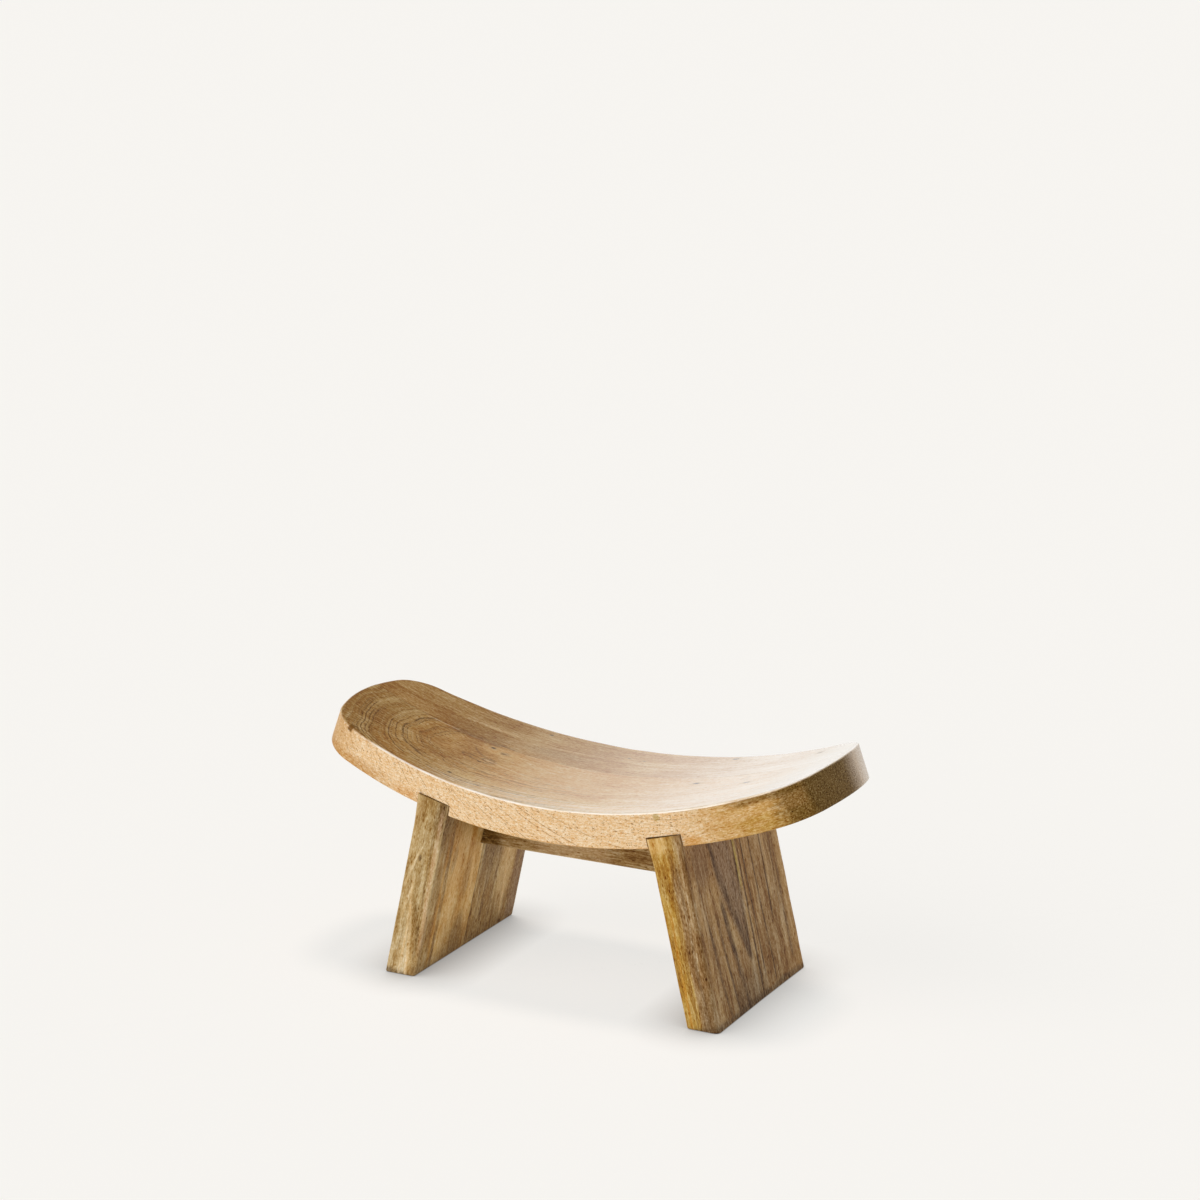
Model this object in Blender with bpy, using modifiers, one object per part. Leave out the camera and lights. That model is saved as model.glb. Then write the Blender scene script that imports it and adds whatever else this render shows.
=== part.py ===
"""Yoga stool: a hollow seat of two glued boards, two splayed plank legs and a stretcher rail.

Lengths are in metres. +Z is up, +X runs along the seat, and the front faces -Y.
The origin lies on the floor, below the middle of the seat.
"""

import math

import bmesh
import bpy
from mathutils import Matrix, Vector
from mathutils.geometry import intersect_sphere_sphere_2d

# Seat: a thick board that follows part of a hoop, with an outline of arcs
SEAT_LENGTH = 0.571  # along the hollow top face
SEAT_WIDTH = 0.225
SEAT_THICKNESS = 0.0385
SEAT_RADIUS = 0.645  # of the hollow top face
SEAT_MIDDLE_HEIGHT = 0.210  # top face above the floor
SIDE_BOW = 0.031  # how far each long edge bows out
END_BOW = 0.034  # how far each end bows out
CORNER_RADIUS = 0.050
RIM_UNDERCUT = 0.0025  # the underside's outline is this much smaller all round
SEAT_ARRIS = 0.0025
SEAT_GLUE_LINE = 0.022  # behind the middle

# Legs: two planks let into the underside, each glued up from two boards
LEG_THICKNESS = 0.035
LEG_SPLAY = math.radians(12.8)
FOOT_SPREAD = 0.386  # across the outer faces, at the floor
LEG_PROUD = 0.002  # how far a leg stands out past the underside's rim
LEG_ARRIS = 0.002
LEG_GLUE_LINES = {"left": -0.003, "right": 0.008}  # behind the middle, or below 0 before it
HOUSING_DEPTH = 0.0132  # of the groove that a leg's top sits in

# Stretcher rail: joins the legs and follows the seat's underside
RAIL_THICKNESS = 0.023
RAIL_HEIGHT_ABOVE_FLOOR = 0.1225
RAIL_ARRIS = 0.0015

# Dowels: blind, from each leg into the seat, and from the rail into legs and seat
LEG_DOWEL_DIAMETER = 0.010
LEG_DOWEL_LENGTH = 0.040
LEG_DOWEL_IN_SEAT = 0.016
LEG_DOWEL_PLACE_SHARES = (-0.25, 0.25)  # of a board's width, from its middle
RAIL_DOWEL_DIAMETER = 0.008
RAIL_DOWEL_LENGTH = 0.040
RAIL_DOWEL_IN_SEAT = 0.018
RAIL_DOWEL_IN_LEG = 0.018
RAIL_DOWEL_PITCH = 0.085  # along the underside, from the middle
RAIL_DOWEL_HEIGHT_SHARES = (0.3, 0.7)  # of the rail's end, from its lower edge
DOWEL_CHAMFER = 0.001
DOWEL_END_ROOM = 0.001  # left at each end of a dowel, for glue

GAP = 0.0003  # between neighbouring pieces
CUT_OVERRUN = 0.020  # how far a cutter reaches past what it cuts
ON_PLANE = 0.001  # a corner this close to a cutting plane lies on it

# Facets
SEAT_STRIPS = 24
CORNER_STEPS = 7
END_STEPS = 4
ARRIS_STEPS = 2
RAIL_STRIPS = 14
DOWEL_SIDES = 20
SHARP_ANGLE = math.radians(35)
FACE_ALONG_AXIS = 0.99  # cosine over which a face counts as square to an axis

HOOP_CENTRE_HEIGHT = SEAT_MIDDLE_HEIGHT + SEAT_RADIUS
UNDERSIDE_RADIUS = SEAT_RADIUS + SEAT_THICKNESS
SIDES = {"left": -1, "right": 1}

SEAT_FRONT_COLOUR = (0.47, 0.30, 0.14, 1.0)
SEAT_REAR_COLOUR = (0.36, 0.25, 0.14, 1.0)
LEG_COLOURS = {"left": (0.42, 0.28, 0.12, 1.0), "right": (0.28, 0.18, 0.08, 1.0)}
RAIL_COLOUR = (0.25, 0.16, 0.08, 1.0)
DOWEL_COLOUR = (0.60, 0.44, 0.25, 1.0)
LACQUERED_ROUGHNESS = 0.35
BARE_ROUGHNESS = 0.7


def clear_scene():
    for obj in list(bpy.data.objects):
        bpy.data.objects.remove(obj)


def add_collection(name):
    collection = bpy.data.collections.new(name)
    bpy.context.scene.collection.children.link(collection)
    return collection


def wood(name, colour, roughness=LACQUERED_ROUGHNESS):
    material = bpy.data.materials.new(name)
    material.use_nodes = True
    shader = material.node_tree.nodes["Principled BSDF"]
    shader.inputs["Base Color"].default_value = colour
    shader.inputs["Roughness"].default_value = roughness
    shader.inputs["Metallic"].default_value = 0.0
    return material


def add_piece(bm, name, collection, parent, material=None):
    """Turn a bmesh into a named object under its parent empty."""
    bmesh.ops.recalc_face_normals(bm, faces=bm.faces)
    mesh = bpy.data.meshes.new(name)
    bm.to_mesh(mesh)
    bm.free()
    mesh.shade_smooth()
    mesh.set_sharp_from_angle(angle=SHARP_ANGLE)
    piece = bpy.data.objects.new(name, mesh)
    piece.parent = parent
    collection.objects.link(piece)
    if material:
        mesh.materials.append(material)
    return piece


def add_cutter(bm, name, collection, parent):
    cutter = add_piece(bm, name, collection, parent)
    cutter.hide_render = True
    cutter.display_type = "WIRE"
    return cutter


def add_empty(name, collection, parent=None, matrix=None):
    empty = bpy.data.objects.new(name, None)
    empty.parent = parent
    if matrix:
        empty.matrix_basis = matrix
    collection.objects.link(empty)
    return empty


def subtract(piece, cutters):
    for cutter in cutters:
        cut = piece.modifiers.new(cutter.name, "BOOLEAN")
        cut.operation = "DIFFERENCE"
        cut.solver = "EXACT"
        cut.object = cutter


def cut_away(bm, point, normal):
    """Cut everything beyond a plane off a closed bmesh, and close it again."""
    everything = bm.verts[:] + bm.edges[:] + bm.faces[:]
    cut = bmesh.ops.bisect_plane(
        bm, geom=everything, plane_co=point, plane_no=normal, clear_outer=True
    )
    edges = [item for item in cut["geom_cut"] if isinstance(item, bmesh.types.BMEdge)]
    bmesh.ops.contextual_create(bm, geom=edges)
    bmesh.ops.recalc_face_normals(bm, faces=bm.faces)


def round_edges(bm, edges, width):
    bmesh.ops.bevel(
        bm,
        geom=edges,
        offset=width,
        offset_type="OFFSET",
        segments=ARRIS_STEPS,
        profile=0.5,
        affect="EDGES",
        clamp_overlap=True,
    )


def bow_radius(half_chord, bow):
    return (half_chord**2 + bow**2) / (2 * bow)


def side_arc_reach(along, inset):
    """Half the flat seat's width at a place along its long edge, drawn in by inset."""
    radius = bow_radius(SEAT_LENGTH / 2, SIDE_BOW)
    return SEAT_WIDTH / 2 - radius + math.sqrt((radius - inset) ** 2 - along**2)


def arc_points(centre, radius, start, end, steps):
    """Points on an arc from its start angle, leaving out its end."""
    angles = [start + (end - start) * step / steps for step in range(steps)]
    return [centre + radius * Vector((math.cos(a), math.sin(a))) for a in angles]


def seat_outline(inset):
    """The flat seat's outline, drawn in by inset, and the places along it for the strips' edges."""
    side_radius = bow_radius(SEAT_LENGTH / 2, SIDE_BOW)
    end_radius = bow_radius(SEAT_WIDTH / 2, END_BOW)
    side_centre = Vector((0, SEAT_WIDTH / 2 - side_radius))
    end_centre = Vector((SEAT_LENGTH / 2 - end_radius, 0))
    meeting = intersect_sphere_sphere_2d(
        side_centre, side_radius - CORNER_RADIUS, end_centre, end_radius - CORNER_RADIUS
    )
    corner_centre = max(meeting, key=lambda point: point.x + point.y)
    to_side = corner_centre - side_centre
    to_end = corner_centre - end_centre
    side_angle = math.atan2(to_side.y, to_side.x)
    end_angle = math.atan2(to_end.y, to_end.x)

    ends = arc_points(end_centre, end_radius - inset, 0, end_angle, END_STEPS)
    corner_radius = CORNER_RADIUS - inset
    corner = arc_points(corner_centre, corner_radius, end_angle, side_angle, CORNER_STEPS)
    corner += [corner_centre + corner_radius * to_side.normalized()]
    strip = SEAT_LENGTH / SEAT_STRIPS
    places = [strip * step for step in range(SEAT_STRIPS // 2)]
    places = [place for place in places if place < corner[-1].x - strip / 2]
    side = [Vector((place, side_arc_reach(place, inset))) for place in reversed(places)]

    quarter = ends + corner + side
    half = quarter + [Vector((-point.x, point.y)) for point in reversed(quarter[:-1])]
    whole = half + [Vector((point.x, -point.y)) for point in reversed(half[1:-1])]
    places += [corner[-1].x, corner[CORNER_STEPS // 2].x]
    return whole, sorted({place * sign for place in places for sign in (-1, 1)})


def on_hoop(along, across, depth):
    """Where a point of the flat seat lies once the seat follows its hoop."""
    angle = along / SEAT_RADIUS
    radius = SEAT_RADIUS + depth
    height = HOOP_CENTRE_HEIGHT - radius * math.cos(angle)
    return Vector((radius * math.sin(angle), across, height))


def seat_board(name, facing, collection, parent, material):
    """The seat on one side of its glue line: facing is -1 for the front board, 1 for the rear."""
    bm = bmesh.new()
    outline, strip_places = seat_outline(0)
    lower_outline, _ = seat_outline(RIM_UNDERCUT)
    top = bm.faces.new([bm.verts.new((x, y, 0)) for x, y in outline])
    bottom = bm.faces.new([bm.verts.new((x, y, -SEAT_THICKNESS)) for x, y in lower_outline])
    rim_edges = top.edges[:] + bottom.edges[:]
    bmesh.ops.bridge_loops(bm, edges=rim_edges)
    bmesh.ops.recalc_face_normals(bm, faces=bm.faces)
    round_edges(bm, rim_edges, SEAT_ARRIS)

    glue_face = Vector((0, SEAT_GLUE_LINE + facing * GAP / 2, 0))
    cut_away(bm, glue_face, (0, -facing, 0))
    for place in strip_places:
        bmesh.ops.bisect_plane(
            bm,
            geom=bm.verts[:] + bm.edges[:] + bm.faces[:],
            dist=ON_PLANE,
            plane_co=(place, 0, 0),
            plane_no=(1, 0, 0),
        )
    for vert in bm.verts:
        vert.co = on_hoop(vert.co.x, vert.co.y, -vert.co.z)
    return add_piece(bm, name, collection, parent, material)


def rise_to_hoop(foot_place, radius):
    """Distance up a leg's slope, from a place on the floor to a hoop about the seat's centre."""
    middle = foot_place * math.sin(LEG_SPLAY) + HOOP_CENTRE_HEIGHT * math.cos(LEG_SPLAY)
    return middle - math.sqrt(middle**2 - foot_place**2 - HOOP_CENTRE_HEIGHT**2 + radius**2)


LEG_FOOT_MIDDLE = FOOT_SPREAD / 2 - LEG_THICKNESS / 2 / math.cos(LEG_SPLAY)
LEG_TO_UNDERSIDE = rise_to_hoop(LEG_FOOT_MIDDLE, UNDERSIDE_RADIUS)
HOUSING_CEILING = LEG_TO_UNDERSIDE + HOUSING_DEPTH
LEG_LENGTH = HOUSING_CEILING - GAP
LEG_MEETS_SEAT_AT = LEG_FOOT_MIDDLE - LEG_TO_UNDERSIDE * math.sin(LEG_SPLAY)
LEG_ALONG_SEAT = SEAT_RADIUS * math.asin(LEG_MEETS_SEAT_AT / UNDERSIDE_RADIUS)
LEG_HALF_WIDTH = side_arc_reach(LEG_ALONG_SEAT, RIM_UNDERCUT) + LEG_PROUD
RAIL_FOOT_PLACE = FOOT_SPREAD / 2 - (LEG_THICKNESS + GAP) / math.cos(LEG_SPLAY)


def leg_frame(side):
    """A leg's own frame: its origin on the floor under the plank's middle, +Z up the slope."""
    foot = Matrix.Translation((side * LEG_FOOT_MIDDLE, 0, 0))
    return foot @ Matrix.Rotation(-side * LEG_SPLAY, 4, "Y")


def leg_board_span(side_name, facing):
    """Where one leg board starts and ends across the leg, front to back."""
    glue_face = LEG_GLUE_LINES[side_name] + facing * GAP / 2
    return sorted((glue_face, facing * LEG_HALF_WIDTH))


def block(low, high):
    """A closed box between two corners."""
    bm = bmesh.new()
    bmesh.ops.create_cube(bm, size=1)
    low = Vector(low)
    high = Vector(high)
    bmesh.ops.scale(bm, vec=high - low, verts=bm.verts)
    bmesh.ops.translate(bm, vec=(low + high) / 2, verts=bm.verts)
    return bm


def leg_board(name, side_name, facing, collection, parent, material):
    front, back = leg_board_span(side_name, facing)
    middle = (front + back) / 2
    half_thickness = LEG_THICKNESS / 2
    half_width = (back - front) / 2
    bm = block(
        (-half_thickness, -half_width, -CUT_OVERRUN), (half_thickness, half_width, LEG_LENGTH)
    )
    to_leg = leg_frame(SIDES[side_name]).inverted()
    cut_away(bm, to_leg.translation, to_leg.to_3x3() @ Vector((0, 0, -1)))

    def meets_a_neighbour(face):
        in_housing = face.normal.z > FACE_ALONG_AXIS
        at_glue_line = -facing * face.normal.y > FACE_ALONG_AXIS
        return in_housing or at_glue_line

    bare = [edge for edge in bm.edges if not any(map(meets_a_neighbour, edge.link_faces))]
    round_edges(bm, bare, LEG_ARRIS)
    board = add_piece(bm, name, collection, parent, material)
    board.location = (0, middle, 0)
    return board


def rod(diameter, length, sides=DOWEL_SIDES):
    bm = bmesh.new()
    bmesh.ops.create_cone(
        bm, cap_ends=True, segments=sides, radius1=diameter / 2, radius2=diameter / 2, depth=length
    )
    return bm


def add_dowel(name, diameter, length, place, turn, collections, parent, material):
    """A dowel with chamfered ends, and the cutter of its hole. Returns the cutter."""
    parts, cutters = collections
    dowel = add_piece(rod(diameter, length), name, parts, parent, material)
    chamfer = dowel.modifiers.new("chamfer", "BEVEL")
    chamfer.width = DOWEL_CHAMFER
    chamfer.segments = 1
    chamfer.limit_method = "ANGLE"
    chamfer.angle_limit = SHARP_ANGLE
    hole = rod(diameter + 2 * GAP, length + 2 * DOWEL_END_ROOM)
    cutter = add_cutter(hole, name + "_hole", cutters, parent)
    for obj in (dowel, cutter):
        obj.location = place
        obj.rotation_euler = (0, turn, 0)
    return cutter


def leg_dowels(side_name, collections, frame, material):
    """Four dowels from the top of one leg up into the seat."""
    holes = []
    height = HOUSING_CEILING + LEG_DOWEL_IN_SEAT - LEG_DOWEL_LENGTH / 2
    for facing in (-1, 1):
        front, back = leg_board_span(side_name, facing)
        for share in LEG_DOWEL_PLACE_SHARES:
            place = (0, (front + back) / 2 + share * (back - front), height)
            name = f"{side_name}_leg_dowel_{len(holes) + 1}"
            size = (LEG_DOWEL_DIAMETER, LEG_DOWEL_LENGTH)
            holes.append(add_dowel(name, *size, place, 0, collections, frame, material))
    return holes


def rail_end_dowels(side_name, side, collections, frame, material):
    """Two dowels, one above the other, from a leg's inner face into the rail's end."""
    holes = []
    lower_edge = RAIL_HEIGHT_ABOVE_FLOOR / math.cos(LEG_SPLAY)
    upper_edge = rise_to_hoop(RAIL_FOOT_PLACE, UNDERSIDE_RADIUS)
    across_leg = -side * (LEG_THICKNESS / 2 - RAIL_DOWEL_IN_LEG + RAIL_DOWEL_LENGTH / 2)
    for share in RAIL_DOWEL_HEIGHT_SHARES:
        place = (across_leg, 0, lower_edge + share * (upper_edge - lower_edge))
        name = f"{side_name}_rail_dowel_{len(holes) + 1}"
        size = (RAIL_DOWEL_DIAMETER, RAIL_DOWEL_LENGTH)
        holes.append(add_dowel(name, *size, place, math.pi / 2, collections, frame, material))
    return holes


def rail_top_dowels(collections, parent, material):
    """Three dowels from the rail's top edge up into the seat."""
    holes = []
    depth = SEAT_THICKNESS - RAIL_DOWEL_IN_SEAT + RAIL_DOWEL_LENGTH / 2
    for along in (-RAIL_DOWEL_PITCH, 0, RAIL_DOWEL_PITCH):
        place = on_hoop(along, 0, depth)
        turn = -along / SEAT_RADIUS
        name = f"seat_rail_dowel_{len(holes) + 1}"
        size = (RAIL_DOWEL_DIAMETER, RAIL_DOWEL_LENGTH)
        holes.append(add_dowel(name, *size, place, turn, collections, parent, material))
    return holes


def housing(side_name, collection, frame):
    """Cutter of the groove across the underside that one leg's top sits in."""
    half_thickness = LEG_THICKNESS / 2 + GAP
    half_width = SEAT_WIDTH / 2 + CUT_OVERRUN
    bm = block(
        (-half_thickness, -half_width, LEG_TO_UNDERSIDE - CUT_OVERRUN),
        (half_thickness, half_width, HOUSING_CEILING),
    )
    return add_cutter(bm, f"{side_name}_housing", collection, frame)


def stretcher_rail(collection, parent, material):
    """A board on edge, its ends cut to the legs' slope and its top to the seat's underside."""
    top_radius = UNDERSIDE_RADIUS + GAP
    lower_end = RAIL_FOOT_PLACE - RAIL_HEIGHT_ABOVE_FLOOR * math.tan(LEG_SPLAY)
    rise = rise_to_hoop(RAIL_FOOT_PLACE, top_radius)
    upper_end = RAIL_FOOT_PLACE - rise * math.sin(LEG_SPLAY)
    end_angle = math.asin(upper_end / top_radius)
    shares = [1 - 2 * step / RAIL_STRIPS for step in range(RAIL_STRIPS + 1)]
    top = [on_hoop(share * end_angle * SEAT_RADIUS, 0, SEAT_THICKNESS + GAP) for share in shares]
    bottom = [Vector((end, 0, RAIL_HEIGHT_ABOVE_FLOOR)) for end in (-lower_end, lower_end)]

    bm = bmesh.new()
    side = bm.faces.new([bm.verts.new(point) for point in bottom + top])
    made = bmesh.ops.extrude_face_region(bm, geom=[side])["geom"]
    moved = [item for item in made if isinstance(item, bmesh.types.BMVert)]
    bmesh.ops.translate(bm, vec=(0, RAIL_THICKNESS, 0), verts=moved)
    bmesh.ops.translate(bm, vec=(0, -RAIL_THICKNESS / 2, 0), verts=bm.verts)
    bmesh.ops.recalc_face_normals(bm, faces=bm.faces)
    underside = min(bm.faces, key=lambda face: face.calc_center_median().z)
    long_edges = sorted(underside.edges, key=lambda edge: edge.calc_length())[-2:]
    round_edges(bm, long_edges, RAIL_ARRIS)
    return add_piece(bm, "stretcher_rail", collection, parent, material)


def build():
    clear_scene()
    parts = add_collection("yoga_stool")
    cutters = add_collection("cutters")
    collections = (parts, cutters)
    stool = add_empty("stool", parts)
    dowel_wood = wood("dowel_wood", DOWEL_COLOUR, BARE_ROUGHNESS)

    rail = stretcher_rail(parts, stool, wood("rail_wood", RAIL_COLOUR))
    seat_boards = [
        seat_board("seat_front_board", -1, parts, stool, wood("seat_front", SEAT_FRONT_COLOUR)),
        seat_board("seat_rear_board", 1, parts, stool, wood("seat_rear", SEAT_REAR_COLOUR)),
    ]
    top_holes = rail_top_dowels(collections, stool, dowel_wood)
    subtract(rail, top_holes)
    seat_cuts = list(top_holes)
    for side_name, side in SIDES.items():
        frame = add_empty(f"{side_name}_leg", parts, stool, leg_frame(side))
        leg_wood = wood(f"{side_name}_leg_wood", LEG_COLOURS[side_name])
        groove = housing(side_name, cutters, frame)
        leg_holes = leg_dowels(side_name, collections, frame, dowel_wood)
        end_holes = rail_end_dowels(side_name, side, collections, frame, dowel_wood)
        for place, facing in (("front", -1), ("rear", 1)):
            name = f"{side_name}_leg_{place}_board"
            board = leg_board(name, side_name, facing, parts, frame, leg_wood)
            subtract(board, leg_holes + end_holes)
        subtract(rail, end_holes)
        seat_cuts += [groove] + leg_holes
    for board in seat_boards:
        subtract(board, seat_cuts)


build()
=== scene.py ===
"""Looks of the yoga stool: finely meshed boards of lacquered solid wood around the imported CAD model.

Lengths are in metres. +Z is up, +X runs along the seat, and the front faces -Y.
"""

import math
from types import SimpleNamespace

import bmesh
import bpy
import numpy as np
from mathutils import Matrix, Vector, noise


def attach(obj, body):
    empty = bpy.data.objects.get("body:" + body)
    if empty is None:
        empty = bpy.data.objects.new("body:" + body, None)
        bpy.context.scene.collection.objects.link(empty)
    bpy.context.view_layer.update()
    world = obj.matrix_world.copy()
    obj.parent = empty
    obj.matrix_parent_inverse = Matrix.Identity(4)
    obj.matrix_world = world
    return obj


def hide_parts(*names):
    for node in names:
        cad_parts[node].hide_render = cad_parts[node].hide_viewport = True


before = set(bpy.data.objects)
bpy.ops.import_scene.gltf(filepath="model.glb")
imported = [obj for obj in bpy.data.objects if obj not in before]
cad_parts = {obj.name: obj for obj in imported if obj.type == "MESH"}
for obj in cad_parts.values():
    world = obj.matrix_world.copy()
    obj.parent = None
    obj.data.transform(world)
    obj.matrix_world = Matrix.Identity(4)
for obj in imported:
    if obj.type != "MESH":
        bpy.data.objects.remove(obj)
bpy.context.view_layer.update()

# Seat, as in the CAD source
SEAT_LENGTH = 0.571
SEAT_WIDTH = 0.225
SEAT_THICKNESS = 0.0385
SEAT_RADIUS = 0.645
SEAT_MIDDLE_HEIGHT = 0.210
SIDE_BOW = 0.031
END_BOW = 0.034
CORNER_RADIUS = 0.050
RIM_UNDERCUT = 0.0025
SEAT_GLUE_LINE = 0.022

# Legs, as in the CAD source
LEG_THICKNESS = 0.035
LEG_SPLAY = math.radians(12.8)
FOOT_SPREAD = 0.386
LEG_PROUD = 0.002
LEG_GLUE_LINES = {"left": -0.003, "right": 0.008}
HOUSING_DEPTH = 0.0132

# Stretcher rail, as in the CAD source
RAIL_THICKNESS = 0.023
RAIL_HEIGHT_ABOVE_FLOOR = 0.1225

# Dowel holes, as in the CAD source
LEG_DOWEL_DIAMETER = 0.010
LEG_DOWEL_LENGTH = 0.040
LEG_DOWEL_IN_SEAT = 0.016
LEG_DOWEL_PLACE_SHARES = (-0.25, 0.25)
RAIL_DOWEL_DIAMETER = 0.008
RAIL_DOWEL_LENGTH = 0.040
RAIL_DOWEL_IN_SEAT = 0.018
RAIL_DOWEL_IN_LEG = 0.018
RAIL_DOWEL_PITCH = 0.085
RAIL_DOWEL_HEIGHT_SHARES = (0.3, 0.7)
DOWEL_END_ROOM = 0.001
HOLE_SIDES = 20

GAP = 0.0003
CUT_OVERRUN = 0.020
SIDES = {"left": -1, "right": 1}
FACINGS = {"front": -1, "rear": 1}

HOOP_CENTRE_HEIGHT = SEAT_MIDDLE_HEIGHT + SEAT_RADIUS
UNDERSIDE_RADIUS = SEAT_RADIUS + SEAT_THICKNESS

# Edges and unevenness that the CAD leaves out
TOP_ARRIS = 0.0024
TOP_ARRIS_SPREAD = 0.0009
LOWER_ARRIS = 0.0018
GLUE_GROOVE_WIDTH = 0.0005
GLUE_GROOVE_DEPTH = 0.00003
SURFACE_RIPPLE = 0.00012
SKIN = 0.00022  # how much smaller the finished seat is than the CAD one, on every side
RIPPLE_SIZE = 0.055
EDGE_RIPPLE_SIZE = 0.030
CHIP_PLACE = -0.2455  # along the seat, on the front arris
CHIP_HALF_WIDTH = 0.0034
CHIP_DEPTH = 0.0030
CHIP_BITE = 0.0022

# How far the planks depart from the CAD's flat ones, for the left side (-1) and the right side (1)
LEG_TOP_FLARES = {-1: (0.0012, 0.0019), 1: (0.0022, 0.0)}  # at the housing: inwards, outwards
LEG_FLARE_REACH = 0.030
REAR_FOOT_SPREAD = {-1: 0.0020, 1: 0.0026}  # further back, at the foot
REAR_FOOT_FLARES = {-1: 0.0, 1: 0.0015}  # further out, at the foot's rear edge

# Mesh fineness
END_STATIONS = 24
CORNER_STATIONS = 30
SIDE_STATIONS = 66
ARRIS_STATIONS = 5
RIM_STATIONS = 9
LEG_STATION = 0.0035
RAIL_STATIONS = 70
RAIL_LEVELS = 12
SHARP_ANGLE = math.radians(38)
EDGE_REACH = 0.05

# Camera, fitted to the photograph, with its angles in degrees
CAMERA_AZIMUTH = 27.08
CAMERA_ELEVATION = 13.842
CAMERA_DISTANCE = 3.11988
CAMERA_RIGHT_OF_ORIGIN = 0.005576
CAMERA_ABOVE_ORIGIN = 0.38745
CAMERA_LENS = 89.149
CAMERA_SENSOR = 36


def ripple(place, size, seed):
    """Smooth noise from about -1 to 1, with features of about this size."""
    return noise.noise(Vector(place) / size + Vector((seed, seed / 3, 0)))


def ripples(outline, depths, size, seed):
    """The ripple at each point of an outline, at its own depth."""
    levels = np.broadcast_to(depths, len(outline))
    return np.array([ripple((*place, level), size, seed) for place, level in zip(outline, levels)])


def shares_of(count):
    """Even shares of the way to 1, without the start at 0."""
    return np.arange(1, count + 1) / count


def bow_radius(half_chord, bow):
    return (half_chord**2 + bow**2) / (2 * bow)


def circles_meeting(first, first_radius, second, second_radius):
    """The meeting point of two circles that lies furthest from the origin."""
    between = second - first
    distance = between.length
    along = (distance**2 + first_radius**2 - second_radius**2) / (2 * distance)
    across = math.sqrt(first_radius**2 - along**2)
    middle = first + between * along / distance
    turned = Vector((-between.y, between.x)) / distance
    return max((middle + turned * across, middle - turned * across), key=sum)


SIDE_RADIUS = bow_radius(SEAT_LENGTH / 2, SIDE_BOW)
END_RADIUS = bow_radius(SEAT_WIDTH / 2, END_BOW)
SIDE_CENTRE = Vector((0, SEAT_WIDTH / 2 - SIDE_RADIUS))
END_CENTRE = Vector((SEAT_LENGTH / 2 - END_RADIUS, 0))
CORNER_CENTRE = circles_meeting(
    SIDE_CENTRE, SIDE_RADIUS - CORNER_RADIUS, END_CENTRE, END_RADIUS - CORNER_RADIUS
)
SIDE_ANGLE = math.atan2(CORNER_CENTRE.y - SIDE_CENTRE.y, CORNER_CENTRE.x - SIDE_CENTRE.x)
END_ANGLE = math.atan2(CORNER_CENTRE.y - END_CENTRE.y, CORNER_CENTRE.x - END_CENTRE.x)


def side_arc_reach(along, inset):
    """Half the flat seat's width at a place along its long edge, drawn in by inset."""
    return SIDE_CENTRE.y + math.sqrt((SIDE_RADIUS - inset) ** 2 - along**2)


def rise_to_hoop(foot_place, radius):
    """Distance up a leg's slope, from a place on the floor to a hoop about the seat's centre."""
    middle = foot_place * LEG_SINE + HOOP_CENTRE_HEIGHT * LEG_COSINE
    return middle - math.sqrt(middle**2 - foot_place**2 - HOOP_CENTRE_HEIGHT**2 + radius**2)


LEG_SINE = math.sin(LEG_SPLAY)
LEG_COSINE = math.cos(LEG_SPLAY)
LEG_SLOPE = math.tan(LEG_SPLAY)
LEG_FOOT_MIDDLE = FOOT_SPREAD / 2 - LEG_THICKNESS / 2 / LEG_COSINE
LEG_TO_UNDERSIDE = rise_to_hoop(LEG_FOOT_MIDDLE, UNDERSIDE_RADIUS)
HOUSING_CEILING = LEG_TO_UNDERSIDE + HOUSING_DEPTH
LEG_LENGTH = HOUSING_CEILING - GAP
LEG_MEETS_SEAT_AT = LEG_FOOT_MIDDLE - LEG_TO_UNDERSIDE * LEG_SINE
LEG_ALONG_SEAT = SEAT_RADIUS * math.asin(LEG_MEETS_SEAT_AT / UNDERSIDE_RADIUS)
LEG_HALF_WIDTH = side_arc_reach(LEG_ALONG_SEAT, RIM_UNDERCUT) + LEG_PROUD
RAIL_FOOT_PLACE = FOOT_SPREAD / 2 - (LEG_THICKNESS + GAP) / LEG_COSINE


def on_hoop(along, across, depth):
    """Where a point of the flat seat lies once the seat follows its hoop."""
    angle = along / SEAT_RADIUS
    radius = SEAT_RADIUS + depth
    return radius * math.sin(angle), across, HOOP_CENTRE_HEIGHT - radius * math.cos(angle)


def off_hoop(places):
    """Along, across and depth in the flat seat for points on the curved one."""
    x, y, z = places.T
    down = HOOP_CENTRE_HEIGHT - z
    return SEAT_RADIUS * np.arctan2(x, down), y, np.hypot(x, down) - SEAT_RADIUS


def inset_in_outline(along, across):
    """How far inside the flat seat's outline each point lies."""
    x = np.abs(along)
    y = np.abs(across)
    from_side = SIDE_RADIUS - np.hypot(x, y - SIDE_CENTRE.y)
    from_end = END_RADIUS - np.hypot(x - END_CENTRE.x, y)
    corner_x = x - CORNER_CENTRE.x
    corner_y = y - CORNER_CENTRE.y
    angle = np.arctan2(corner_y, corner_x)
    in_corner = (angle > END_ANGLE) & (angle < SIDE_ANGLE)
    from_corner = CORNER_RADIUS - np.hypot(corner_x, corner_y)
    return np.where(in_corner, from_corner, np.minimum(from_side, from_end))


def leg_place(side, outward, across, up):
    """A point of a leg, given from the plank's middle at the floor, out, back and up the slope."""
    x = LEG_FOOT_MIDDLE + outward * LEG_COSINE - up * LEG_SINE
    return side * x, across, outward * LEG_SINE + up * LEG_COSINE


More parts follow.
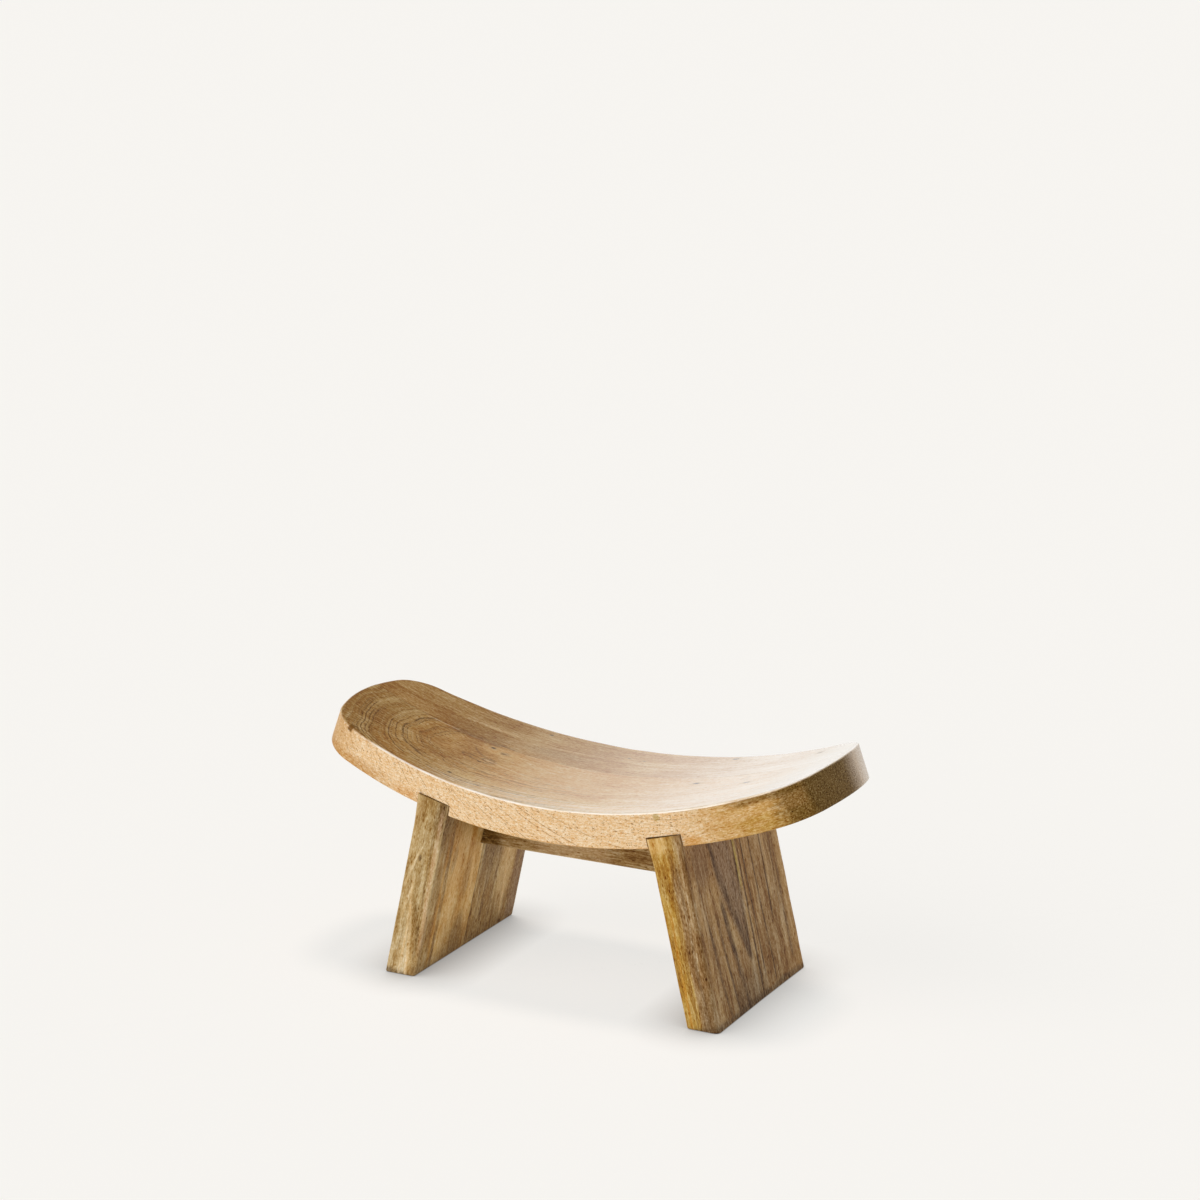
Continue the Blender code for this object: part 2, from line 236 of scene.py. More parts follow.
def in_leg(side, places):
    """Outward, across and up the slope for points on a leg."""
    x, y, z = places.T
    from_foot = side * x - LEG_FOOT_MIDDLE
    return from_foot * LEG_COSINE + z * LEG_SINE, y, z * LEG_COSINE - from_foot * LEG_SINE


def new_mesh(name, places, faces):
    mesh = bpy.data.meshes.new(name)
    mesh.from_pydata(places, [], faces)
    bm = bmesh.new()
    bm.from_mesh(mesh)
    bmesh.ops.recalc_face_normals(bm, faces=bm.faces)
    bm.to_mesh(mesh)
    bm.free()
    return mesh


def new_object(name, mesh):
    piece = bpy.data.objects.new(name, mesh)
    bpy.context.scene.collection.objects.link(piece)
    return piece


def cut(piece, cutters):
    """Take closed cutter meshes out of a piece, for good."""
    for index, mesh in enumerate(cutters):
        cutter = new_object(f"cutter_{index}", mesh)
        modifier = piece.modifiers.new("cut", "BOOLEAN")
        modifier.operation = "DIFFERENCE"
        modifier.solver = "EXACT"
        modifier.object = cutter
        bpy.context.view_layer.update()
        seen = piece.evaluated_get(bpy.context.evaluated_depsgraph_get())
        whole = piece.data
        piece.data = bpy.data.meshes.new_from_object(seen)
        piece.modifiers.clear()
        bpy.data.meshes.remove(whole)
        bpy.data.objects.remove(cutter)
        bpy.data.meshes.remove(mesh)


def grid_faces(rows):
    """Faces between neighbouring rows of vertices of the same length."""
    return [
        (low[step], low[step + 1], high[step + 1], high[step])
        for low, high in zip(rows[:-1], rows[1:])
        for step in range(len(low) - 1)
    ]


def closed_tube(name, loops):
    """A mesh along loops of points, closed all round and at both ends."""
    size = len(loops[0])
    rows = [[start + step for step in (*range(size), 0)] for start in range(0, size * len(loops), size)]
    caps = [tuple(row[:-1]) for row in (rows[0], rows[-1])]
    return new_mesh(name, [point for loop in loops for point in loop], grid_faces(rows) + caps)


def places_of(mesh):
    places = np.empty(len(mesh.vertices) * 3)
    mesh.vertices.foreach_get("co", places)
    return places.reshape(-1, 3)


def add_attribute(mesh, name, kind, field, values):
    attribute = mesh.attributes.new(name, kind, "POINT")
    attribute.data.foreach_set(field, values.astype(np.float32).ravel())


def finish_piece(piece, grain, edge, material, node):
    """Give a board its grain coordinates and material, and let it stand for its CAD node."""
    mesh = piece.data
    add_attribute(mesh, "grain", "FLOAT_VECTOR", "vector", np.stack(grain, axis=1))
    add_attribute(mesh, "edge", "FLOAT", "value", np.clip(edge, 0, EDGE_REACH))
    mesh.materials.clear()
    mesh.materials.append(material)
    mesh.shade_smooth()
    mesh.set_sharp_from_angle(angle=SHARP_ANGLE)
    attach(piece, "root")
    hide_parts(node)


# Sines and cosines from 0 to 90 degrees, for an arris
ARRIS_ARC = [(math.sin(a), math.cos(a)) for a in np.linspace(0, math.pi / 2, ARRIS_STATIONS + 1)]


def between_ends(values, share):
    """The value at a share of the way from the first one to the last."""
    return values[0] + (values[-1] - values[0]) * share


class SeatBoard:
    """One board of the seat, in the flat: x along it, y from the seat's middle to its outer edge."""

    def __init__(self, facing):
        self.glue = facing * (SEAT_GLUE_LINE + facing * GAP / 2)
        self.half_count = END_STATIONS + CORNER_STATIONS + SIDE_STATIONS + 1
        self.corner_at = END_STATIONS + CORNER_STATIONS // 2
        self.count = 2 * self.half_count - 1
        start = math.asin(self.glue / END_RADIUS)
        first = GLUE_GROOVE_WIDTH / END_RADIUS / (END_ANGLE - start)
        rest = np.linspace(0, 1, END_STATIONS)[1:]
        self.end_shares = np.concatenate([[0, first], rest])

    def half_outline(self, insets):
        """From the glue line round one corner to the middle of the long edge."""
        end, corner, side = np.split(insets, [END_STATIONS + 1, END_STATIONS + 1 + CORNER_STATIONS])
        start = np.arcsin(self.glue / (END_RADIUS - end))
        arcs = (
            (END_CENTRE, END_RADIUS - end, start, END_ANGLE, self.end_shares),
            (CORNER_CENTRE, CORNER_RADIUS - corner, END_ANGLE, SIDE_ANGLE, shares_of(CORNER_STATIONS)),
            (SIDE_CENTRE, SIDE_RADIUS - side, SIDE_ANGLE, math.pi / 2, shares_of(SIDE_STATIONS)),
        )
        points = []
        for centre, radii, first, last, shares in arcs:
            angles = first + (last - first) * shares
            points.append([centre.x + radii * np.cos(angles), centre.y + radii * np.sin(angles)])
        return np.concatenate(points, axis=1).T

    def outline(self, insets):
        """The exposed outline from the right end of the glue line round to its left end."""
        right = self.half_outline(insets[: self.half_count])
        left = self.half_outline(insets[::-1][: self.half_count])
        return np.concatenate([right, left[::-1][1:] * (-1, 1)])

    def sheet(self, outline):
        """A grid of points that fills the outline, by blending its four sides."""
        corner = self.corner_at
        outer = outline[corner : self.count - corner]
        right = outline[: corner + 1]
        left = outline[::-1][: corner + 1]
        u = ((outer[0, 0] - outer[:, 0]) / (outer[0, 0] - outer[-1, 0]))[:, None, None]
        v = ((right[:, 1] - right[0, 1]) / (right[-1, 1] - right[0, 1]))[:, None]
        ends = between_ends((right, left), u)
        lower = ends[:, :1]
        sides = between_ends((lower, outer[:, None]), v)
        corners = between_ends((lower, ends[:, -1:]), v)
        return sides + ends - corners


SEAT_SEED = 5


def seat_mesh(name, facing):
    board = SeatBoard(facing)
    seed = SEAT_SEED + facing
    base = board.outline(np.zeros(board.count))
    top_arris = TOP_ARRIS + TOP_ARRIS_SPREAD * ripples(base, 0, EDGE_RIPPLE_SIZE, seed)
    everywhere = np.ones(board.count)

    insets = [top_arris * (1 - sine) for sine, cosine in ARRIS_ARC]
    depths = [top_arris * (1 - cosine) for sine, cosine in ARRIS_ARC]
    for share in np.linspace(0, 1, RIM_STATIONS + 1)[1:-1]:
        depths.append(top_arris + (SEAT_THICKNESS - LOWER_ARRIS - top_arris) * share)
        insets.append(RIM_UNDERCUT * depths[-1] / SEAT_THICKNESS)
    for sine, cosine in ARRIS_ARC:
        insets.append(everywhere * (RIM_UNDERCUT + LOWER_ARRIS * (1 - cosine)))
        depths.append(everywhere * (SEAT_THICKNESS - LOWER_ARRIS * (1 - sine)))
    if facing < 0:
        near_chip = np.exp(-(((base[:, 0] - CHIP_PLACE) / CHIP_HALF_WIDTH) ** 2))
        for row, depth in enumerate(depths):
            insets[row] = insets[row] + CHIP_BITE * near_chip * np.exp(-((depth / CHIP_DEPTH) ** 2))

    rims = []
    for inset, depth in zip(insets, depths):
        wave = ripples(board.outline(inset), depth, RIPPLE_SIZE, seed + 2)
        rims.append(board.outline(inset + SKIN + SURFACE_RIPPLE * (1 + wave)))
    places = []

    def add(x, y, depth, on_glue_line):
        """Adds a point, after the faces' slight unevenness and the hairline groove at the glue."""
        sunk = SKIN + (GLUE_GROOVE_DEPTH if on_glue_line else 0)
        wave = ripple((x, y, 0), RIPPLE_SIZE, seed + 4)
        depth += (1 - 2 * depth / SEAT_THICKNESS) * (sunk + SURFACE_RIPPLE * (1 + wave))
        places.append(on_hoop(x, facing * y, depth))
        return len(places) - 1

    def sheet_rows(level):
        """The top or the bottom face, as columns from the glue line to the outer edge."""
        depth = depths[level][0]
        sheet = board.sheet(rims[level])
        return [[add(x, y, depth, j == 0) for j, (x, y) in enumerate(column)] for column in sheet]

    def border(columns):
        return columns[0] + [column[-1] for column in columns[1:-1]] + columns[-1][::-1]

    top_rows = sheet_rows(0)
    bottom_rows = sheet_rows(-1)
    levels_between = list(zip(rims, depths))[1:-1]
    ends = (0, board.count - 1)
    rim_rows = [border(top_rows)]
    for rim, depth in levels_between:
        row = []
        for station, (x, y) in enumerate(rim):
            if station in ends:
                x -= math.copysign(GLUE_GROOVE_DEPTH, x)
            row.append(add(x, y, depth[station], station in ends))
        rim_rows.append(row)
    rim_rows.append(border(bottom_rows))

    glue_columns = [[row[0] for row in rim_rows]]
    top_line = board.sheet(rims[0])[:, 0, 0]
    for i in range(1, len(top_line) - 1):
        share = (top_line[0] - top_line[i]) / (top_line[0] - top_line[-1])
        column = [top_rows[i][0]]
        for rim, depth in levels_between:
            x = between_ends(rim, share)[0]
            column.append(add(x, board.glue, between_ends(depth, share), True))
        column.append(bottom_rows[i][0])
        glue_columns.append(column)
    glue_columns.append([row[-1] for row in rim_rows])
    faces = [face for rows in (top_rows, bottom_rows, rim_rows, glue_columns) for face in grid_faces(rows)]
    return new_mesh(name, places, faces)


def leg_frame(side):
    foot = Matrix.Translation((side * LEG_FOOT_MIDDLE, 0, 0))
    return foot @ Matrix.Rotation(-side * LEG_SPLAY, 4, "Y")


def cutter_from(bm):
    mesh = bpy.data.meshes.new("cutter")
    bm.to_mesh(mesh)
    bm.free()
    return mesh


def leg_top_dowels(side_name):
    """Where the dowels between one leg's top and the seat are, and how thick and long they are."""
    height = HOUSING_CEILING + LEG_DOWEL_IN_SEAT - LEG_DOWEL_LENGTH / 2
    for facing in FACINGS.values():
        front, back = sorted((LEG_GLUE_LINES[side_name] + facing * GAP / 2, facing * LEG_HALF_WIDTH))
        for share in LEG_DOWEL_PLACE_SHARES:
            across = (front + back) / 2 + share * (back - front)
            matrix = leg_frame(SIDES[side_name]) @ Matrix.Translation((0, across, height))
            yield matrix, LEG_DOWEL_DIAMETER, LEG_DOWEL_LENGTH


def rail_end_dowels(side):
    lower_edge = RAIL_HEIGHT_ABOVE_FLOOR / LEG_COSINE
    upper_edge = rise_to_hoop(RAIL_FOOT_PLACE, UNDERSIDE_RADIUS)
    across_leg = -side * (LEG_THICKNESS / 2 - RAIL_DOWEL_IN_LEG + RAIL_DOWEL_LENGTH / 2)
    for share in RAIL_DOWEL_HEIGHT_SHARES:
        place = (across_leg, 0, lower_edge + share * (upper_edge - lower_edge))
        matrix = leg_frame(side) @ Matrix.Translation(place) @ Matrix.Rotation(math.pi / 2, 4, "Y")
        yield matrix, RAIL_DOWEL_DIAMETER, RAIL_DOWEL_LENGTH


def rail_top_dowels():
    depth = SEAT_THICKNESS - RAIL_DOWEL_IN_SEAT + RAIL_DOWEL_LENGTH / 2
    for along in (-RAIL_DOWEL_PITCH, 0, RAIL_DOWEL_PITCH):
        turn = Matrix.Rotation(-along / SEAT_RADIUS, 4, "Y")
        yield Matrix.Translation(on_hoop(along, 0, depth)) @ turn, RAIL_DOWEL_DIAMETER, RAIL_DOWEL_LENGTH


def holes(*dowels):
    """One cutter for the holes of several dowels."""
    bm = bmesh.new()
    for matrix, diameter, length in dowels:
        radius = diameter / 2 + GAP
        depth = length + 2 * DOWEL_END_ROOM
        sizes = {"radius1": radius, "radius2": radius, "depth": depth, "segments": HOLE_SIDES}
        bmesh.ops.create_cone(bm, cap_ends=True, matrix=matrix, **sizes)
    return cutter_from(bm)


def housing(side):
    """Cutter of the groove across the underside that one leg's top sits in."""
    widths = [LEG_THICKNESS / 2 + GAP + flare for flare in LEG_TOP_FLARES[side]]
    to_left, to_right = widths[::side]
    half_width = SEAT_WIDTH / 2 + CUT_OVERRUN
    low = Vector((-to_left, -half_width, LEG_TO_UNDERSIDE - CUT_OVERRUN))
    high = Vector((to_right, half_width, HOUSING_CEILING))
    bm = bmesh.new()
    bmesh.ops.create_cube(bm, size=1)
    bmesh.ops.scale(bm, vec=high - low, verts=bm.verts)
    bmesh.ops.translate(bm, vec=(low + high) / 2, verts=bm.verts)
    bmesh.ops.transform(bm, matrix=leg_frame(side), verts=bm.verts)
    return cutter_from(bm)


def seat_board(name, facing, material):
    piece = new_object(f"finished_{name}", seat_mesh(name, facing))
    dowels = (*leg_top_dowels("left"), *leg_top_dowels("right"), *rail_top_dowels())
    cut(piece, [housing(side) for side in SIDES.values()] + [holes(*dowels)])
    along, across, depth = off_hoop(places_of(piece.data))
    inset = np.maximum(inset_in_outline(along, across), 0)
    edge = np.minimum(np.hypot(inset, depth), np.hypot(inset, SEAT_THICKNESS - depth))
    finish_piece(piece, (along, across, depth), edge, material, name)


# How far the arrises of a leg board are rounded: at the housing and at the foot
LEG_ARRISES = {
    "left": ((0.0010, 0.0030), (0.0012, 0.0026)),  # outer, inner
    "right": ((0.0020, 0.0062), (0.0010, 0.0028)),
}
LEG_ARRIS_SPREAD = 0.25
LEG_ARRIS_LEAST = 0.0004
LEG_END_STEPS = 8
LEG_SEED = 11
FOOT_ARRIS = 0.0018
LEG_TOP_SLACK = {"left": (0.0004, 0.0004), "right": (0.0019, 0.0002)}
RIPPLE_IN_LEG = 0.00015


def leg_loop(side_name, facing, height_share, inset, seed, height):
    """The board's outline across the plank at one height: outward and across, in a loop."""
    limit = LEG_THICKNESS / 2 - inset
    glue = LEG_GLUE_LINES[side_name] + facing * GAP / 2
    outer_edge = facing * LEG_HALF_WIDTH
    face = outer_edge - facing * inset
    groove = glue + facing * GLUE_GROOVE_WIDTH
    steps = max(2, round(abs(outer_edge - glue) / LEG_STATION))
    unevenness = 1 + LEG_ARRIS_SPREAD * ripple((height, seed, 0), EDGE_RIPPLE_SIZE, seed)
    halves = []
    for sign, (at_top, at_foot) in zip((1, -1), LEG_ARRISES[side_name]):
        radius = at_foot + (at_top - at_foot) * height_share
        radius = max(radius * unevenness - inset * 0.5, LEG_ARRIS_LEAST)
        half = [(sign * (limit - GLUE_GROOVE_DEPTH), glue)]
        for share in np.linspace(0, 1, steps + 1):
            half.append((sign * limit, groove + (face - facing * radius - groove) * share))
        for sine, cosine in ARRIS_ARC[1:]:
            half.append((sign * (limit - radius * (1 - cosine)), face - facing * radius * (1 - sine)))
        halves.append(half)
    outer, inner = halves
    end_shares = np.linspace(0, 1, LEG_END_STEPS + 1)[1:-1]
    end = [(between_ends((outer[-1][0], inner[-1][0]), share), face) for share in end_shares]
    return outer + end + inner[::-1]


def leg_mesh(name, side_name, facing):
    side = SIDES[side_name]
    seed = LEG_SEED + 3 * side + facing
    inner_slack, outer_slack = LEG_TOP_SLACK[side_name]
    levels = [(FOOT_ARRIS * (1 - sine), FOOT_ARRIS * (1 - cosine), 0) for sine, cosine in ARRIS_ARC]
    levels += [(0, FOOT_ARRIS, share) for share in shares_of(round(LEG_LENGTH / LEG_STATION))]
    loops = []
    for inset, rise, share in levels:
        height = share * LEG_LENGTH
        near_top = max(0, 1 - (LEG_LENGTH - height) / LEG_FLARE_REACH)
        loop = []
        for outward, across in leg_loop(side_name, facing, share, inset, seed, height):
            from_middle = 2 * outward / LEG_THICKNESS
            at_rear_foot = (1 - share) * max(0, across) / LEG_HALF_WIDTH
            wave = RIPPLE_IN_LEG * (ripple((outward, across, height), RIPPLE_SIZE, seed) + 1)
            flare = LEG_TOP_FLARES[side][int(from_middle > 0)] * near_top
            if from_middle > 0:
                flare += REAR_FOOT_FLARES[side] * at_rear_foot
            pulled = outward + (flare - wave) * from_middle
            across += REAR_FOOT_SPREAD[side] * at_rear_foot
            low = rise - pulled * LEG_SLOPE
            high = LEG_LENGTH - outer_slack - (inner_slack - outer_slack) * (1 - from_middle) / 2
            loop.append(leg_place(side, pulled, across, low + (high - low) * share))
        loops.append(loop)
    return closed_tube(name, loops)


def leg_board(name, side_name, facing, material):
    side = SIDES[side_name]
    piece = new_object(f"finished_{name}", leg_mesh(name, side_name, facing))
    cut(piece, [holes(*leg_top_dowels(side_name)), holes(*rail_end_dowels(side))])
    outward, across, up = in_leg(side, places_of(piece.data))
    from_faces = np.maximum(LEG_THICKNESS / 2 - np.abs(outward), 0)
    edge = np.hypot(from_faces, np.maximum(LEG_HALF_WIDTH - np.abs(across), 0))
    finish_piece(piece, (up, across, outward), edge, material, name)


RAIL_ARRIS = 0.0014
RAIL_SEED = 31
RAIL_END_ROUNDS = 8  # enough for the rail's slanting end to settle on its curved top


def rail_mesh(name):
    half = RAIL_THICKNESS / 2
    radius = UNDERSIDE_RADIUS + GAP
    low = RAIL_HEIGHT_ABOVE_FLOOR

    def end_at(height):
        return RAIL_FOOT_PLACE - height * LEG_SLOPE

    loops = []
    for share in np.linspace(-1, 1, RAIL_STATIONS + 1):
        x = share * end_at(low)
        for _ in range(RAIL_END_ROUNDS):
            top = HOOP_CENTRE_HEIGHT - math.sqrt(radius**2 - x**2)
            x = share * end_at(top)
        levels = np.linspace(0, 1, RAIL_LEVELS + 1)
        side = [(-half, top + (low + RAIL_ARRIS - top) * level) for level in levels]
        for sine, cosine in ARRIS_ARC[1:]:
            side.append((-half + RAIL_ARRIS * (1 - cosine), low + RAIL_ARRIS * (1 - sine)))
        loop = []
        for across, height in side + [(-across, height) for across, height in reversed(side)]:
            wave = SURFACE_RIPPLE * (1 + ripple((x, across, height), RIPPLE_SIZE, RAIL_SEED))
            loop.append((share * end_at(height), across * (1 - wave / half), height))
        loops.append(loop)
    return closed_tube(name, loops)


def rail_board(name, material):
    piece = new_object(f"finished_{name}", rail_mesh(name))
    ends = [dowel for side in SIDES.values() for dowel in rail_end_dowels(side)]
    cut(piece, [holes(*ends, *rail_top_dowels())])
    x, y, z = places_of(piece.data).T
    up = z - RAIL_HEIGHT_ABOVE_FLOOR
    edge = np.hypot(np.maximum(RAIL_THICKNESS / 2 - np.abs(y), 0), np.maximum(up, 0))
    finish_piece(piece, (x, up, y), edge, material, name)


# Shader nodes
MM = 0.001


class Value:
    """A number, vector or colour in a shader. Sums and products of it become nodes."""

    def __init__(self, socket):
        self.socket = socket
        self.tree = socket.id_data

    def __add__(self, other):
        return calc("ADD", self, other)

    def __sub__(self, other):
        return calc("SUBTRACT", self, other)

    def __mul__(self, other):
        return calc("MULTIPLY", self, other)

    def __truediv__(self, other):
        return calc("DIVIDE", self, other)

    def __abs__(self):
        return calc("ABSOLUTE", self)


def put(tree, kind, **settings):
    node = tree.nodes.new(f"ShaderNode{kind}")
    for name, value in settings.items():
        setattr(node, name, value)
    return node


def feed(socket, value):
    if isinstance(value, Value):
        value.tree.links.new(value.socket, socket)
    elif socket.type == "RGBA":
        socket.default_value = (*value, 1)
    else:
        socket.default_value = value


def fed(kind, *values, **settings):
    """A new node whose first inputs are fed from the values, in their tree."""
    tree = next(value.tree for value in values if isinstance(value, Value))
    node = put(tree, kind, **settings)
    for socket, value in zip(node.inputs, values):
        feed(socket, value)
    return node


def calc(operation, *values):
    return Value(fed("Math", *values, operation=operation).outputs[0])


def vector_calc(operation, *values):
    return Value(fed("VectorMath", *values, operation=operation).outputs[0])


def parts(vector):
    return [Value(output) for output in fed("SeparateXYZ", vector).outputs]


def ease(value, low, high, start=0, end=1):
    """A smooth step of value between low and high, from start to end."""
    node = fed("MapRange", value, low, high, start, end, interpolation_type="SMOOTHSTEP")
    return Value(node.outputs[0])


def swing(value, reach):
    """Noise about 0.5 as a swing from -1 to 1."""
    return ease(value, 0.5 - reach, 0.5 + reach, -1, 1)


def tint(colour, new_colour, amount):
    """The colour, blended towards a new one."""
    node = put(amount.tree, "Mix", data_type="RGBA", clamp_factor=True)
    for socket, value in zip((node.inputs[0], *node.inputs[6:8]), (amount, colour, new_colour)):
        feed(socket, value)
    return Value(node.outputs[2])


def deepened(colour, amount):
    """The colour raised to the power 1 + amount: darker and fuller above 0, and paler below."""
    return Value(fed("Gamma", colour, amount + 1).outputs[0])


def stretched(vector, sizes, offset=(0, 0, 0)):
    """The vector in units of these sizes."""
    return vector_calc("MULTIPLY_ADD", vector, [1 / size for size in sizes], offset)


def moved(vector, noise_colour, reach):
    """The vector, moved by up to half of reach each way."""
    centred = vector_calc("SUBTRACT", noise_colour, (0.5, 0.5, 0.5))
    return vector_calc("MULTIPLY_ADD", centred, (reach, reach, reach), vector)


def pattern(kind, place, **numbers):
    """A texture over a vector, or over a single number, with features of size 1."""
    single = place.socket.type == "VALUE"
    node = put(place.tree, f"Tex{kind}", **{f"{kind.lower()}_dimensions": "1D" if single else "3D"})
    feed(node.inputs["W" if single else "Vector"], place)
    for name, number in {"Scale": 1, **numbers}.items():
        node.inputs[name].default_value = number
    return node


def noise_over(place, detail=2, roughness=0.5, output="Fac"):
    return Value(pattern("Noise", place, Detail=detail, Roughness=roughness).outputs[output])


def cells(place):
    """How far the nearest of many random points is, and a random number of that point's own."""
    node = pattern("Voronoi", place)
    own = fed("SeparateColor", Value(node.outputs["Color"])).outputs[0]
    return Value(node.outputs["Distance"]), Value(own)


# Sizes in mm of the noises that every wood shares
FRAY_SIZES = (12, 4, 4)
RAGGED_SIZES = (22, 7, 7)
MOTTLE_SIZES = (24, 6, 6)
LINE_BREAK_SIZES = (11, 11, 11)
OFF_PITH = (16, 36)  # mm to the side of the pith where the rings' lines start and are full


class Wood:
    """The shader of one solid wood. Its pattern follows the piece's own grain coordinates, in mm."""

    def __init__(self, name, look):
        self.look = look
        self.material = bpy.data.materials.new(name)
        self.material.use_nodes = True
        tree = self.material.node_tree
        self.shader = tree.nodes["Principled BSDF"]
        if look.dressed:
            grain = put(tree, "Attribute", attribute_name="grain").outputs["Vector"]
        else:
            grain = put(tree, "TexCoord").outputs["Object"]
        self.grain = stretched(Value(grain), (MM, MM, MM))
        self.edge = Value(put(tree, "Attribute", attribute_name="edge").outputs["Fac"]) / MM
        self.along, self.across, self.depth = parts(self.grain)
        bent = moved(self.grain, self.noise(look.bend_sizes, 1, output="Color"), look.bend)
        self.bent = moved(bent, self.noise(FRAY_SIZES, output="Color"), look.fray)
        self.bent_along, self.bent_across, self.bent_depth = parts(self.bent)
        self.axes = {
            "along": self.bent_along,
            "across": self.bent_across,
            "depth": self.bent_depth,
            "ragged along": self.along + (self.noise(RAGGED_SIZES, 4, 0.65) - 0.5) * look.ragged,
            "true depth": self.depth,
            "edge": self.edge,
        }
        self.mottle = self.clouds(MOTTLE_SIZES, 0.36, 0.62, 3)
        self.ring = self.rings()

    def noise(self, sizes, detail=2, roughness=0.5, place=None, output="Fac"):
        """Noise about 0.5 whose features have about these sizes in mm."""
        place = stretched(self.grain if place is None else place, sizes, self.look.offset)
        return noise_over(place, detail, roughness, output)

    def clouds(self, sizes, low, high, *settings):
        return ease(self.noise(sizes, *settings), low, high)

    def wave(self, sizes, reach, *settings):
        return swing(self.noise(sizes, *settings), reach)

    def rings(self):
        """Distance in mm from the surface where growth rings would cross the apex line at its middle."""
        look = self.look
        from_apex = self.bent_along - look.apex
        before = calc("MINIMUM", from_apex, 0)
        after = calc("MAXIMUM", from_apex, 0)
        rise = after * after * look.rise_after - before * before * before * look.rise_before
        height = self.bent_depth + rise + from_apex * look.lean + look.pith_away
        aside = self.bent_across - from_apex * look.drift - look.pith_across
        off_apex = ease(abs(from_apex), *look.flat_ring_reach)
        self.steep = calc("MAXIMUM", off_apex, ease(abs(aside), *OFF_PITH))
        return calc("SQRT", height * height + aside * aside) - look.pith_away


# Where marks fade out
STRIPE_ENDS = (0, 0.45)  # share of the way from a stripe's end to its middle, bowed
SPOT_EDGE = (0.15, 1)  # square of the share of the way from a spot's middle
LINE_EDGE = (0.2, 1.3)  # in half widths of a ring line
KNOT_EDGE = (0.35, 1.15)  # in radii of a knot
HALO_EDGE = (0.9, 2.6)
HALO_STRENGTH = 0.4
# Edges are paled as wear, and on the seat also as a painted highlight on its arrises
WEAR_AND_HIGHLIGHT_EDGE = (0.4, 2.2)  # mm from an edge of the piece
COATED_ENDS = (262, 270)  # mm from the seat's middle, where its end grain is coated
COATED_ENDS_ACROSS = (-10, 45)
BUMP_DISTANCE = 0.00015  # metres


# Limits that several features share
FRONT_FACE = ("across", -98, -104)
ON_TOP = ("true depth", 6, 1)
OFF_TOP = ("true depth", 0.5, 2.5)
ON_FRONT_EDGE = ("across", -78, -84)


def within(made, limits, amount):
    """The amount, faded out beyond soft limits: an axis, where it starts, and where it is full."""
    for axis, start, full in limits:
        low, high = sorted((start, full))
        amount = amount * ease(made.axes[axis], low, high, int(start > full), int(start < full))
    return amount


def mark(new_tint, limits, amount_of):
    """A step that blends towards a tint inside soft limits."""

    def adjust(made, colour):
        return tint(colour, new_tint, within(made, limits, amount_of(made)))

    return adjust


def zone(limits, new_tint, strength, mottle=0.3):
    return mark(new_tint, limits, lambda made: (made.mottle * mottle + (1 - mottle)) * strength)


def stripe(line, half_width, span, new_tint, strength, axis="across", limits=(), soft=0.5):
    """A streak along the grain. line holds its place at the span's ends, and how far it bows between."""
    first, last, bulge = line
    start, end = span

    def amount_of(made):
        share = (made.along - start) / (end - start)
        bow = share * (share * -1 + 1)
        away = abs(made.axes[axis] - share * (last - first) - bow * 4 * bulge - first)
        amount = ease(away, half_width * (1 - soft), half_width * (1 + soft), strength, 0)
        return amount * ease(bow * 4, *STRIPE_ENDS) * (made.mottle * 0.5 + 0.5)

    return mark(new_tint, limits, amount_of)


def front_stripe(*settings, soft=0.5):
    """A streak on a leg's front face."""
    return stripe(*settings, "depth", (FRONT_FACE,), soft)


def spot(along, across, long, wide, new_tint, strength, axis="across", limits=()):
    """A soft oval patch."""

    def amount_of(made):
        x = (made.bent_along - along) / long
        y = (made.axes[axis] - across) / wide
        return ease(x * x + y * y, *SPOT_EDGE, strength, 0)

    return mark(new_tint, limits, amount_of)


def thin_lines(number, width):
    """Thin lines at random places along a number, each of its own strength."""
    away, strength = cells(number)
    return ease(away, 0, width, 1, 0) * strength


def ring_lines(made):
    """Dark late wood: lines whose places along the board's middle are named, and random ones."""
    look = made.look
    darkness = thin_lines(made.ring / look.line_spacing, look.line_reach / look.line_spacing)
    darkness = darkness * look.random_lines * made.steep
    for place, half_width, strength, *limits in look.ring_places:
        before = look.apex - place
        reach = 3 * look.rise_before * before**2 * half_width
        away = abs(made.ring - look.rise_before * before**3)
        line = within(made, limits, ease(away / reach, *LINE_EDGE, strength, 0))
        darkness = calc("MAXIMUM", darkness, line)
    darkness = darkness * ease(made.along, *look.line_fade, 1, look.line_rest)
    return darkness * (made.clouds(LINE_BREAK_SIZES, 0.3, 0.5, 3) * 0.75 + 0.25)


def pores(made, sizes, share, place=None, reach=(0.1, 0.45)):
    """Short dark vessels. Each cell of the pattern holds one, and only a share of them shows."""
    away, own = cells(stretched(made.bent if place is None else place, sizes, made.look.offset))
    return ease(away, *reach, 1, 0) * ease(own, 1 - share, 1)


def pin_knots(made, colour):
    """Small knots: a dark heart in a paler ring."""
    hearts = 0
    for along, across, radius, dark in made.look.knots:
        x = (made.bent_along - along) / (radius * 1.5)
        y = (made.bent_across - across) / radius
        away = calc("SQRT", x * x + y * y)
        heart = ease(away, *KNOT_EDGE, dark, 0)
        colour = tint(colour, made.look.halo_tint, ease(away, *HALO_EDGE, HALO_STRENGTH, 0))
        colour = tint(colour, made.look.knot_tint, heart)
        hearts = calc("MAXIMUM", heart, hearts)
    return colour, hearts


